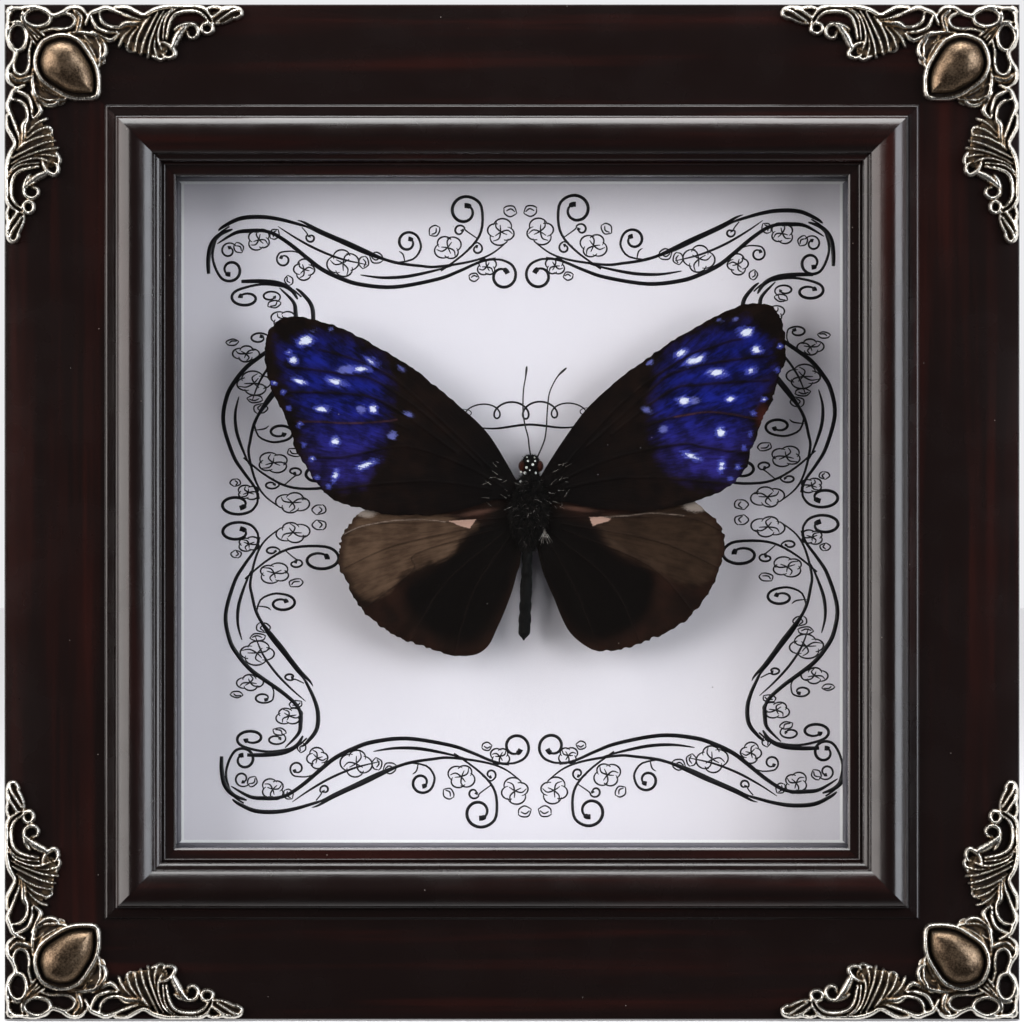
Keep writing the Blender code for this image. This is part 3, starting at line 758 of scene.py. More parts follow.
def makeOrnaments():
    xs, zs, field, height, cavity, dome = castRelief()
    points, faces, used = cutSheet(xs, zs, field)
    front = ornament["plate"] + height.ravel()[used]
    flat, closed = closeSheet(points, faces, front, np.full(len(points), ornament["foot"]))
    values = {
        "cavity": np.concatenate([cavity.ravel()[used], np.full(len(points), 0.6)]),
        "dome": np.concatenate([dome.ravel()[used], np.zeros(len(points))]),
    }
    finish = castMetal()
    for quarter, corner in enumerate(("bottom_left", "top_left", "top_right", "bottom_right")):
        x, z = quarterTurned(flat[:, 0] - halfSide, flat[:, 1] - halfSide, quarter)
        turned = np.column_stack([x, z, flat[:, 2]])
        piece = addPiece(f"ornament_{corner}", turned, closed, finish, values, None, 55.0)
        finishPiece(piece, "ornament_metal", f"corner_ornament_{corner}")


makeOrnaments()
print("corner ornaments ready")


# Glass, spacers, card and what is behind it

def roundEdges(bm, edges, bevel, segments=2):
    bmesh.ops.bevel(bm, geom=edges, offset=bevel * mm, segments=segments, affect="EDGES", profile=0.5)


def bevelBox(name, box, bevel, material, segments=2):
    # a box between an extent's sides with rounded edges
    bm = bmesh.new()
    bmesh.ops.create_cube(bm, size=1.0)
    for vert in bm.verts:
        x = box["left"] if vert.co.x < 0 else box["right"]
        z = box["bottom"] if vert.co.z < 0 else box["top"]
        depth = box["front"] if vert.co.y < 0 else box["back"]
        vert.co = Vector(toWorld([(x, z, depth)])[0])
    roundEdges(bm, list(bm.edges), bevel, segments)
    bmesh.ops.recalc_face_normals(bm, faces=list(bm.faces))
    return placeMesh(name, meshFrom(bm, name), material)


def glassFinish():
    g = Graph("clearGlass")
    smear = g.noise(g.millimetres(), 0.03, 3.0)
    clear = g.node("ShaderNodeBsdfTransparent", None, {"Color": (0.975, 0.985, 0.98)})
    gloss = g.node("ShaderNodeBsdfGlossy", None, {"Color": (1.0, 1.0, 1.0), "Roughness": 0.02})
    # a ray passes straight through, so only the side it enters by may mirror it
    entering = 1 - g.node("ShaderNodeNewGeometry", None, None, 6)
    mirror = g.node("ShaderNodeFresnel", None, {"IOR": 1.5}) * entering * g.spread(smear, 0.8, 1.0)
    return g.output(g.node("ShaderNodeMixShader", None, {0: mirror, 1: clear, 2: gloss}))


def spacerFinish():
    g = Graph("paperedStrip")
    place = g.millimetres()
    fine = g.noise(place, 2.5, 3.0)
    broad = g.noise(place, 0.2)
    colour = g.tints(fine * 0.6 + broad * 0.4, (72, 70, 77), (98, 96, 104))
    return g.surface(colour, g.spread(fine, 0.5, 0.62), fine * 0.03)


def cardFinish():
    g = Graph("printedCard")
    place = g.millimetres()
    fibres = g.noise(place, 4.0, 4.0, 0.6)
    cloud = g.noise(place, 0.03)
    # painted highlight: a thin whiter band round the card's edge, beyond the printed face, stands in for a
    # bright line of light along that edge
    across = g.maths("ABSOLUTE", g.split(place))
    upward = g.maths("ABSOLUTE", g.split(place, 2) - centreZ / mm)
    colour = g.coats(
        g.tints(cloud, (238, 233, 240), (232, 228, 238)),
        (g.smooth(fibres, 0.35, 0.75) * 0.25, 214, 210, 224),
        (g.dots(place, 0.11, 0.02, 0.35) * 0.5, 120, 112, 118),
        (g.smooth(g.maths("MAXIMUM", across, upward), 55.6, 55.7), 252, 251, 253),
    )
    return g.surface(colour, g.spread(fibres, 0.5, 0.6), fibres * 0.02)


def boardFinish():
    g = Graph("hardboard")
    place = g.millimetres()
    fibres = g.noise(g.scaled(place, 0.5, 1.0, 1.6), 1.6, 6.0, 0.65)
    blotch = g.noise(place, 0.05, 3.0)
    colour = g.tints(g.smooth(fibres, 0.32, 0.68), (116, 80, 50), (164, 120, 80))
    colour = g.coats(colour, (g.smooth(blotch, 0.4, 0.7) * 0.4, 98, 64, 40))
    return g.surface(colour, g.spread(fibres, 0.7, 0.9), fibres * 0.06 + g.cells(place, 1.4) * 0.05)


def foamFinish():
    g = Graph("foam")
    cells = g.cells(g.millimetres(), 3.2)
    return g.surface(g.tints(cells, (236, 236, 230), (198, 198, 192)), 0.9, cells * -0.12)


def zincFinish():
    g = Graph("zincPlate")
    place = g.millimetres()
    scratch = g.noise(g.scaled(place, 1.0, 1.0, 9.0), 1.2, 4.0)
    colour = g.tints(g.split(g.cells(place, 0.7, 1)), (168, 170, 174), (206, 207, 210))
    colour = g.coats(colour, (g.smooth(scratch, 0.6, 0.75) * 0.5, 110, 108, 106))
    return g.surface(colour, g.spread(scratch, 0.28, 0.46), scratch * 0.02, {"Metallic": 1.0})


def brassFinish():
    g = Graph("brassPlate")
    place = g.millimetres()
    tarnish = g.noise(place, 0.5, 5.0, 0.6)
    scratch = g.noise(g.scaled(place, 8.0, 1.0, 1.0), 1.0, 4.0)
    colour = g.tints(g.smooth(tarnish, 0.35, 0.7), (214, 176, 106), (150, 112, 62))
    colour = g.coats(colour, (g.smooth(scratch, 0.6, 0.75) * 0.4, 236, 212, 160))
    return g.surface(colour, g.spread(tarnish, 0.25, 0.45), scratch * 0.02, {"Metallic": 1.0})


def plateFromLoops(name, loops, front, back, bevel, material):
    # a flat plate between two depths; the first loop is its outline and the others are holes
    bm = bmesh.new()
    edges = []
    for loop in loops:
        ring = [bm.verts.new(Vector(point)) for point in toWorld([(x, z, back) for x, z in loop])]
        edges += [bm.edges.new(pair) for pair in zip(ring, ring[1:] + ring[:1])]
    bmesh.ops.triangle_fill(bm, edges=edges, use_beauty=True)
    grown = bmesh.ops.extrude_face_region(bm, geom=list(bm.faces))["geom"]
    moved = [item for item in grown if isinstance(item, bmesh.types.BMVert)]
    bmesh.ops.translate(bm, verts=moved, vec=(0.0, (back - front) * mm, 0.0))
    bmesh.ops.recalc_face_normals(bm, faces=list(bm.faces))
    sharp = [edge for edge in bm.edges if edge.calc_face_angle(0.0) > math.radians(60)]
    roundEdges(bm, [edge for edge in sharp if abs(edge.verts[0].co.y - edge.verts[1].co.y) < 1e-7], bevel)
    return placeMesh(name, meshFrom(bm, name), material)


def middleOf(box):
    return (box["left"] + box["right"]) / 2, (box["bottom"] + box["top"]) / 2


# half of a tab's outline from its straight end to its tip, across and along
tab = {
    "half": [(4.0, -7.0), (4.0, 2.2), (2.6, 4.9), (1.1, 6.6), (0.0, 7.0)],
    "holeAt": -2.0,
    "holeRadius": 1.0,
    "bevel": 0.12,
}


def makeTabs():
    finish = zincFinish()
    outline = [(-4.0, -7.0)] + tab["half"] + [(-x, z) for x, z in tab["half"][-2:0:-1]]
    hole = ringLine((0.0, tab["holeAt"]), (tab["holeRadius"], tab["holeRadius"]), steps=16)[:-1]
    for quarter, side in enumerate(quarterSides):
        for number in (1, 2):
            box = extent(f"retaining_tab_{side}_{number}")
            centre = np.array(middleOf(box))
            loops = [[centre + quarterTurned(x, z, quarter) for x, z in loop] for loop in (outline, hole)]
            name = f"tab_{side}_{number}"
            piece = plateFromLoops(name, loops, box["front"], box["back"], tab["bevel"], finish)
            finishPiece(piece, "tab_steel", f"retaining_{name}")


hanger = {
    "teeth": 11,
    "toothDepth": 1.6,
    "end": 9.7,
    "corner": 1.6,
    "slots": (-11.0, 0.0, 11.0),
    "slotRadii": (3.0, 0.8),
    "bevel": 0.15,
    # share of the nail head's radius and share of its height
    "nail": [(1.0, 0.0), (1.0, 0.25), (0.94, 0.5), (0.8, 0.72), (0.55, 0.9), (0.28, 0.98)],
}


def makeHanger():
    finish = brassFinish()
    box = extent("sawtooth_hanger")
    left, right, low, high = box["left"], box["right"], box["bottom"], box["top"]
    pitch = (right - left - 2 * hanger["end"]) / hanger["teeth"]
    tip = low + hanger["toothDepth"]
    r = hanger["corner"]
    loop = arc((left + r, high - r), (r, r), 90, 180, 4) + arc((left + r, low + r), (r, r), 180, 270, 4)
    for tooth in range(hanger["teeth"]):
        start = left + hanger["end"] + tooth * pitch
        loop += [(start, low), (start + pitch * 0.46, tip), (start + pitch * 0.54, tip)]
    loop += [(right - hanger["end"], low)]
    loop += arc((right - r, low + r), (r, r), 270, 360, 4) + arc((right - r, high - r), (r, r), 0, 90, 4)
    loops = [loop]
    for x in hanger["slots"]:
        loops.append(arc((x, middleOf(box)[1] + 1.6), hanger["slotRadii"], 0, 360, 20)[:-1])
    piece = plateFromLoops("hangerPlate", loops, box["front"], box["back"], hanger["bevel"], finish)
    finishPiece(piece, "hanger_metal", "sawtooth_hanger")
    for side in ("left", "right"):
        makeNailHead(side, finish)


def makeNailHead(side, finish):
    # a shallow domed head with a rolled edge
    box = extent(f"hanger_nail_{side}")
    centre = middleOf(box)
    radius = (box["right"] - box["left"]) / 2
    thick = box["front"] - box["back"]
    steps = 28
    flat = [(*centre, box["front"])]
    for share, rise in hanger["nail"]:
        ring = arc(centre, (radius * share, radius * share), 0, 360, steps)[:-1]
        flat += [(x, z, box["front"] - rise * thick) for x, z in ring]
    flat.append((*centre, box["back"]))
    rings = len(hanger["nail"])
    faces = fanFaces(1, steps, 0) + bandFaces(rings, steps, 1, flip=True)
    faces += fanFaces(1 + (rings - 1) * steps, steps, len(flat) - 1, flip=True)
    piece = addPiece(f"nailHead_{side}", flat, faces, finish, None, None, 35.0)
    finishPiece(piece, "hanger_metal", f"hanger_nail_{side}")


# piece's name, the solid it stands for, its slot, how far its edges are rounded and in how many steps
inserts = {
    **{f"strip_{side}": (f"spacer_{side}", "spacer", 0.12, 2) for side in ("top", "bottom", "left", "right")},
    "card": ("backing_card", "printed_card", 0.1, 1),
    "backBoard": ("back_board", "back_board", 0.35, 2),
    "foamBlock": ("mounting_pad", "foam", 0.4, 3),
}


def makeInserts():
    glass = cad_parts["glass_pane"]
    glass.data.materials.clear()
    glass.data.materials.append(glassFinish())
    finishes = {
        "printed_card": cardFinish(),
        "back_board": boardFinish(),
        "foam": foamFinish(),
        "spacer": spacerFinish(),
    }
    for name, (node, slot, bevel, segments) in inserts.items():
        finishPiece(bevelBox(name, extent(node), bevel, finishes[slot], segments), slot, node)


makeInserts()
makeTabs()
makeHanger()
print("glass, card and back ready")


# Scroll print on the card: flat ribbons of ink swept along their lines

printing = {
    "thin": 0.27,                 # the finest line
    "inkHeight": 0.12,            # height of a ribbon as a share of its width
    "turn": math.radians(0.7),    # the sheet was printed slightly turned
    "topAxis": 2.0,
    "topLine": 44.7,
    "bottomAxis": 3.2,
    "bottomLine": -44.5,
    "leftLine": -39.5,
    "rightLine": 45.6,
    "sideMiddle": -0.5,
    "sideShrink": 0.758,
    "sideStretch": 1.27,
}


def geometryTree(name, **sockets):
    # an empty tree with its inputs; the first is the geometry that it works on
    tree = bpy.data.node_groups.new(name, "GeometryNodeTree")
    for label, kind in {"Geometry": "Geometry", **sockets, "Finish": "Material"}.items():
        tree.interface.new_socket(label, in_out="INPUT", socket_type=f"NodeSocket{kind}")
    tree.interface.new_socket("Geometry", in_out="OUTPUT", socket_type="NodeSocketGeometry")
    g = Graph(name, tree)
    start = tree.nodes.new("NodeGroupInput")
    return g, {socket.name: Wire(g, socket) for socket in start.outputs if socket.name}


def closeTree(g, given, result):
    real = g.node("GeometryNodeRealizeInstances", None, {"Geometry": result})
    painted = g.node("GeometryNodeSetMaterial", None, {"Geometry": real, "Material": given["Finish"]})
    g.node("NodeGroupOutput", None, {"Geometry": painted})
    return g.owner


def sweepTree():
    # sweeps a flat strip along every line, as wide as the line's own radius says, and stands it upright
    g, given = geometryTree("sweepInk", HeightShare="Float", StandAt="Vector")
    size = {"Width": 2.0, "Height": given["HeightShare"] * 2.0}
    strip = g.node("GeometryNodeCurvePrimitiveQuadrilateral", None, size)
    sweep = g.node("GeometryNodeCurveToMesh", None, {
        "Curve": given["Geometry"], "Profile Curve": strip, "Scale": g.node("GeometryNodeInputRadius"),
        "Fill Caps": True,
    })
    upright = {"Geometry": sweep, "Translation": given["StandAt"], "Rotation": (math.pi / 2, 0.0, 0.0)}
    return closeTree(g, given, g.node("GeometryNodeTransform", None, upright))


def bakeTree(name, source, tree, settings):
    # runs a tree on an object and keeps the result as a plain mesh
    modifier = source.modifiers.new("tree", "NODES")
    modifier.node_group = tree
    identifiers = {item.name: item.identifier for item in tree.interface.items_tree if item.in_out == "INPUT"}
    for label, value in settings.items():
        modifier[identifiers[label]] = value
    bpy.context.view_layer.update()
    ready = source.evaluated_get(bpy.context.evaluated_depsgraph_get())
    mesh = bpy.data.meshes.new_from_object(ready)
    mesh.name = name
    source.modifiers.remove(modifier)
    bpy.data.objects.remove(source)
    if not mesh.materials:
        mesh.materials.append(settings["Finish"])
    return linkObject(name, mesh)


def sweepLines(name, lines, depthOf, heightShare, material, tree):
    # each line has x, z and a half width at every point
    curve = bpy.data.curves.new(name, "CURVE")
    curve.dimensions = "3D"
    curve.twist_mode = "Z_UP"
    for line in lines:
        spline = curve.splines.new("POLY")
        spline.points.add(len(line) - 1)
        for point, (x, z, half), depth in zip(spline.points, line, depthOf(line)):
            point.co = (x * mm, z * mm, depth * mm, 1.0)
            point.radius = half * mm
    settings = {"HeightShare": heightShare, "StandAt": (0.0, bandY, centreZ), "Finish": material}
    return bakeTree(name, linkObject(f"{name}Lines", curve), tree, settings)


def inked(line, width, startShare=0.25, endShare=0.25):
    # gives a line its half widths: thin at both ends, full in the middle
    t = np.linspace(0, 1, len(line))
    swell = np.sin(np.pi * t) ** 0.8
    ends = startShare * (1 - t) + endShare * t
    half = width / 2 * (ends + (1 - ends) * swell)
    return np.column_stack([line, half])


def curl(joint, centre, outer, inner, start, turns, width):
    # a stem that runs into a spiral with a dot at its heart
    spiral = spiralLine(centre, outer, inner, start, turns)
    line = smoothLine(np.vstack([joint, spiral[2::3]]), 3) if len(joint) else spiral
    t = np.linspace(0, 1, len(line))
    half = width / 2 * (0.55 + 0.45 * np.sin(np.pi * t) ** 0.8)
    half[-5:] = width * 0.8
    return np.column_stack([line, half])


def placed(centre, radius, angle, shares):
    # shares of a radius along a direction and across it, as points
    away = np.array([math.cos(angle), math.sin(angle)]) * radius
    across = np.array([-away[1], away[0]])
    return [np.array(centre) + away * along + across * aside for along, aside in shares]


def rose(centre, radius, turn):
    # a blown rose: broad petals folded over one another round a crossed heart
    thin = printing["thin"]
    middle = np.array(centre)
    lines = []
    for petal in range(4):
        angle = turn + math.pi * petal / 2
        away = np.array([math.cos(angle), math.sin(angle)])
        size = radius * (0.66 if petal % 2 else 0.56)
        radii = (size, size * 0.86)
        loop = ringLine(middle + away * radius * 0.42, radii, math.degrees(angle) - 98, 190, 14)
        lines.append(inked(loop, thin * 1.1, 0.4, 0.6))
    for fold in range(3):
        bent = placed(centre, radius, turn + 0.75 + fold * 2.1,
                      [(-0.42, 0.3), (0.0, 0.02), (0.5, -0.12), (0.86, 0.16)])
        lines.append(inked(smoothLine(bent, 5), thin, 0.5, 0.4))
    return lines


def bud(centre, radius, turn):
    lines = []
    upper = [(-1, 0), (-0.3, 0.75), (0.6, 0.5), (1, 0)]
    lower = [(-1, 0), (-0.3, -0.75), (0.6, -0.6), (0.9, 0)]
    heart = [(-0.7, 0.1), (0, 0.3), (0.5, -0.2)]
    for shares in (upper, lower, heart):
        line = smoothLine(placed(centre, radius, math.radians(turn), shares), 5)
        lines.append(inked(line, printing["thin"], 0.6, 0.5))
    return lines


def scrollUnit():
    # one scroll, drawn outward from the mirror line and up from its own middle line
    sweep = [(49.5, 3.8), (46.8, 5.0), (43.3, 5.2), (40.0, 4.7), (36.1, 3.6), (33.4, 2.3), (30.3, 0.9),
             (26.4, -0.9), (23.3, -2.0), (20.6, -2.8), (17.0, -3.3)]
    strand = [(47.7, 2.6), (45.3, 2.9), (43.2, 2.9), (41.2, 2.3), (38.5, 0.5), (35.5, -2.0), (33.3, -3.7),
              (30.3, -5.2), (26.9, -6.3), (21.2, -6.8), (14.1, -5.6), (10.4, -4.3), (6.9, -2.8), (4.2, -2.2)]
    # points, steps a span, width and the shares of it at both ends
    strokes = [
        ([(50.6, 3.0)] + sweep[:5], 6, 0.72, 0.3, 0.6),
        ([(37.4, 4.6), (36.2, 4.2), (34.1, 3.0), (31.4, 1.7), (28.6, 0.5), (25.8, -0.8), (22.6, -2.2),
          (19.0, -3.0)],
         6, 0.74, 0.0, 0.2),
        (sweep[3:] + [(14.1, -3.5), (8.5, -2.7), (5.0, -1.5), (2.2, 0.6)], 6, 0.5, 0.6, 0.4),
        ([(52.3, -4.2), (52.3, -1.8), (51.8, 0.6), (50.4, 2.3), (48.2, 3.2)], 6, 0.8, 0.7, 0.3),
        (strand, 5, 0.72, 0.35, 0.45),
        ([(50.8, 0.8)] + strand[:4], 5, 0.7, 0.2, 0.4),
        ([(19.4, -2.8), (19.7, -1.4), (20.4, -0.8)], 5, printing["thin"], 0.25, 0.25),
        ([(26.9, -4.7), (23.4, -5.2), (19.5, -5.1), (15.6, -4.4), (11.6, -3.4)], 5, 0.56, 0.25, 0.25),
        ([(40.6, 3.6), (37.6, 1.6), (34.0, -0.4), (30.0, -2.0), (25.8, -3.0)], 5, 0.42, 0.25, 0.25),
    ]
    # stem, centre, outer and inner radius, where the spiral starts, turns and width
    curls = [
        ([(48.7, 3.7), (50.5, 2.4), (51.3, 0.5), (51.6, -1.5), (51.0, -3.6)],
         (48.6, -3.6), 2.2, 0.7, -20, -1.25, 0.5),
        ([(6.9, -2.6), (4.2, -2.4)], (3.1, -5.2), 2.8, 0.9, 70, 1.3, 0.52),
        ([], (48.9, -0.4), 1.5, 0.5, 150, -1.2, 0.36),
        ([(36.6, 3.4)], (35.1, 1.6), 0.95, 0.3, 70, -1.2, 0.36),
        ([(36.9, -1.0), (38.2, -0.6)], (39.7, -2.0), 1.4, 0.5, 100, -1.3, 0.36),
        ([(21.2, -2.8), (18.1, -2.2), (16.8, -0.6)], (18.9, 0.6), 2.2, 0.6, 200, -1.35, 0.48),
        ([(13.4, -4.2), (9.9, -1.7), (7.4, 0.8), (6.4, 3.2)], (9.3, 5.7), 3.1, 0.9, 190, -1.35, 0.54),
        ([(7.3, 1.2)], (10.2, 2.5), 1.1, 0.4, 200, -1.2, 0.36),
        ([(8.7, -0.4)], (7.3, -0.6), 1.1, 0.35, 60, 1.2, 0.36),
    ]
    roses = [((3.3, 2.2), 2.3, 0.3), ((12.2, -0.3), 2.2, 1.0), ((43.8, 1.4), 1.9, 0.6),
             ((29.8, -2.7), 2.5, 1.4), ((36.3, -3.7), 1.8, 0.1), ((5.7, -3.6), 1.6, 0.9)]
    buds = [((1.7, 5.7), 1.2, 20), ((14.4, 2.5), 1.1, 140), ((47.2, 0.1), 1.0, 60), ((24.2, -1.9), 1.2, 200),
            ((38.9, -5.5), 0.9, 260), ((7.9, -5.3), 0.9, 10), ((26.3, -2.6), 1.1, 100),
            ((41.2, 2.3), 1.0, 310)]
    lines = [inked(smoothLine(points, steps), *widths) for points, steps, *widths in strokes]
    lines += [curl(*values) for values in curls]
    for drawing, places in ((rose, roses), (bud, buds)):
        for values in places:
            lines += drawing(*values)
    return lines


def placeScrolls():
    # eight copies of the unit: two along the top and bottom, two up each side
    copies = []
    for out, up, half in [line.T for line in scrollUnit()]:
        for side in (-1, 1):
            rise = printing["sideMiddle"] + side * printing["sideShrink"] * out
            copies += [
                (printing["topAxis"] + side * out, printing["topLine"] + up, half),
                (printing["bottomAxis"] + side * out, printing["bottomLine"] - up, half),
                (printing["leftLine"] + printing["sideStretch"] * up, rise, half),
                (printing["rightLine"] - printing["sideStretch"] * up, rise, half),
            ]
    return [np.column_stack(line) for line in copies]


def middleFlourish():
    # a plain looping ornament between the feelers and the forewings
    share = np.linspace(0, 1, 150)
    turns = share * 2 * math.pi * 5
    x = -9.5 + 24.0 * share + 1.5 * np.sin(turns)
    z = 17.0 + 1.45 * np.cos(turns) * np.sin(math.pi * share) ** 0.5
    base = smoothLine([(-8.0, 14.6), (-3.0, 14.0), (3.0, 14.6), (9.0, 14.0), (14.0, 14.7)], 8)
    return [inked(np.column_stack([x, z]), 0.34, 0.3, 0.3), inked(base, 0.4, 0.1, 0.1)]


def inkFinish():
    g = Graph("printInk")
    uneven = g.noise(g.millimetres(), 2.0, 3.0)
    colour = g.tints(g.smooth(uneven, 0.4, 0.75), (12, 11, 14), (30, 28, 34))
    return g.surface(colour, g.spread(uneven, 0.4, 0.55))


def makePrint():
    cardFront = extent("backing_card")["front"]
    cosine, sine = math.cos(printing["turn"]), math.sin(printing["turn"])
    turn = np.array([[cosine, -sine], [sine, cosine]])
    nearer = 1 - cardFront * mm / studio["cameraDistance"]
    lines = [np.column_stack([line[:, :2] @ turn.T * nearer, line[:, 2] * nearer])
             for line in placeScrolls() + middleFlourish()]

    def onCard(line):
        return [cardFront] * len(line)

    piece = sweepLines("scrollPrint", lines, onCard, printing["inkHeight"], inkFinish(), sweepTree())
    finishPiece(piece, "printed_card")


makePrint()
print("scroll print ready")


# Butterfly

butterfly = {
    "middle": 2.7,
    "cell": 0.24,
    "rise": math.tan(math.radians(4.5)),
    "forewing": {"root": -11.6, "crown": 0.5, "ragged": 0.36, "veins": "veins", "rootUp": 4.0},
    "hindwing": {"root": -12.4, "crown": 0.3, "ragged": 0.5, "veins": "hindVeins", "rootUp": -1.0},
    "crownReach": 40.0,
    "thickness": 0.1,
    "veinHeight": 0.05,
    "body": -13.0,
    "bodySides": 40,
    "eyeRadii": (0.78, 1.0, 0.95),
}

# Outlines, markings and veins run outward from the body and up. A spot or strip is given by its place, its
# width and height, and its tilt.
leftWings = {
    "forewing": [
        (1.6, 4.6), (2.3, 6.0), (6.5, 12.9), (10.7, 17.2), (13.4, 19.6), (16.6, 22.3), (19.6, 24.6),
        (23.3, 26.8), (27.1, 29.1), (31.0, 31.0), (34.6, 32.2), (38.1, 33.0), (40.5, 33.0), (42.0, 32.5),
        (43.5, 31.0), (44.2, 29.4), (44.5, 26.8), (44.3, 24.3), (43.5, 21.1), (42.3, 18.4), (41.2, 16.2),
        (40.2, 13.6), (39.5, 10.9), (37.8, 8.0), (36.3, 5.4), (34.6, 3.3), (32.5, 1.8), (29.8, 0.8),
        (27.1, 0.2), (23.8, -0.5), (19.6, -0.7), (15.2, -0.5), (10.7, 0.5), (7.0, 1.7), (4.7, 2.2),
        (2.0, 1.8),
    ],
    "hindwing": [
        (1.0, 2.4), (10.0, 4.5), (22.0, 3.6), (27.9, 0.5), (29.8, -1.3), (31.1, -3.0), (32.0, -5.0),
        (32.1, -7.0), (32.0, -9.5), (30.6, -12.0), (29.8, -14.2), (28.6, -16.1), (26.6, -18.2),
        (24.1, -20.1), (21.4, -21.6), (18.7, -22.6), (15.7, -23.6), (13.0, -24.3), (10.2, -24.3),
        (8.2, -23.8), (6.5, -22.3), (5.2, -19.6), (4.0, -16.9), (2.7, -13.4), (1.8, -10.2), (1.3, -8.4),
        (0.8, -2.0),
    ],
    "spots": [
        (37.5, 28.8, 2.7, 1.7, -6), (39.5, 25.6, 1.7, 1.4, 0), (38.6, 22.1, 2.4, 0.95, 26),
        (26.3, 25.4, 2.1, 0.9, 32), (28.1, 24.1, 3.2, 1.2, -4), (32.3, 21.9, 3.3, 1.4, 10),
        (34.8, 17.4, 2.2, 1.1, 5), (26.1, 17.4, 1.6, 1.5, 0), (32.5, 11.9, 1.7, 1.7, 0),
        (27.2, 8.0, 3.0, 1.0, -22), (32.5, 6.2, 1.0, 1.9, 10),
    ],
    "dimSpots": [
        (20.1, 16.4, 1.7, 1.0, 20), (22.9, 12.9, 1.8, 1.5, 0), (21.2, 24.1, 1.5, 0.8, 34),
        (36.1, 30.6, 1.0, 0.8, 0), (33.3, 30.8, 0.9, 0.7, 0), (28.1, 17.3, 1.8, 1.5, 0),
        (30.6, 24.0, 3.0, 1.4, 0),
    ],
    "dots": [
        (42.8, 21.7), (41.2, 20.2), (40.2, 17.4), (38.5, 14.7), (37.8, 11.2), (36.3, 9.0), (35.5, 5.9),
        (33.6, 4.2), (40.3, 26.9),
    ],
    "veins": [
        [(35.1, 27.3), (31.8, 26.5), (27.6, 25.0), (22.0, 22.0), (12.0, 13.0), (4.0, 5.0)],
        [(40.5, 24.5), (35.1, 23.8), (30.6, 23.1), (26.1, 22.3), (18.0, 17.0), (8.0, 8.0)],
        [(41.4, 20.2), (35.1, 20.1), (30.6, 19.9), (26.1, 19.2), (21.0, 16.5), (12.0, 10.0)],
        [(39.5, 15.2), (35.2, 15.2), (32.1, 15.0), (27.6, 15.0), (23.8, 15.3), (20.0, 14.0)],
        [(37.5, 9.2), (31.5, 9.2), (27.6, 9.9), (20.0, 11.0), (10.0, 7.5), (4.0, 4.0)],
        [(33.0, 3.6), (26.0, 4.6), (16.0, 5.2), (6.0, 3.8)],
    ],
    "redVein": [(39.0, 15.2), (35.2, 15.2), (32.1, 15.0), (27.6, 15.0), (23.8, 15.3), (22.1, 15.6)],
    "blue": [
        (42.1, 28.8), (41.8, 25.0), (41.0, 22.1), (40.3, 19.1), (38.8, 15.3), (38.0, 12.8), (37.1, 9.8),
        (35.8, 6.8), (34.3, 4.6), (30.6, 3.8), (27.6, 4.5), (26.1, 6.9), (23.5, 12.0), (23.0, 16.0),
        (22.7, 19.1), (23.1, 22.1), (24.6, 25.8), (26.8, 27.1), (30.6, 29.2), (35.1, 30.5), (38.8, 29.9),
        (41.0, 29.0),
    ],
    "fringe": [(41.6, 15.9), (40.6, 13.9), (39.8, 10.7), (38.9, 9.3), (36.6, 5.0)],
    "translucent": (42.0, 12.0, 0.01, 0.01),
    "hindPatch": [
        (32.6, -3.5), (32.6, -9.5), (30.0, -13.8), (26.5, -15.4), (23.3, -13.2), (20.8, -10.8),
        (18.6, -9.9), (15.5, -8.6), (12.2, -6.4), (10.0, -4.0), (8.5, -2.2), (12.0, -0.8), (18.0, -0.2),
        (26.0, 1.2), (30.6, -0.6),
    ],
    "velvet": [
        (1.0, -2.0), (8.5, -2.6), (12.0, -6.8), (16.0, -9.6), (20.0, -12.4), (19.5, -17.0), (14.0, -21.5),
        (8.0, -21.0), (3.0, -12.0),
    ],
    "tear": [(8.6, -1.2), (11.0, -1.3), (13.6, -1.5), (12.0, -2.2), (9.8, -2.9), (9.2, -2.0)],
    "strip": (8.6, -0.1, 9.0, 1.3, -10),
    "tone": 0.0,
    "hindVein": [(31.4, -3.9), (28.6, -2.6), (26.1, -2.0), (22.1, -1.4), (17.0, -1.3), (13.9, -1.7)],
    "hindVeins": [
        [(31.4, -3.9), (26.1, -2.0), (13.9, -1.7), (4.0, -1.0)], [(31.0, -9.5), (22.0, -5.5), (6.0, -2.0)],
        [(28.0, -16.6), (19.5, -10.0), (18.8, -7.0), (6.0, -3.0)],
        [(20.0, -22.0), (14.0, -12.0), (4.0, -3.5)], [(12.5, -24.0), (9.0, -13.0), (3.0, -4.0)],
    ],
    "wedge": (27.2, 0.2),
}
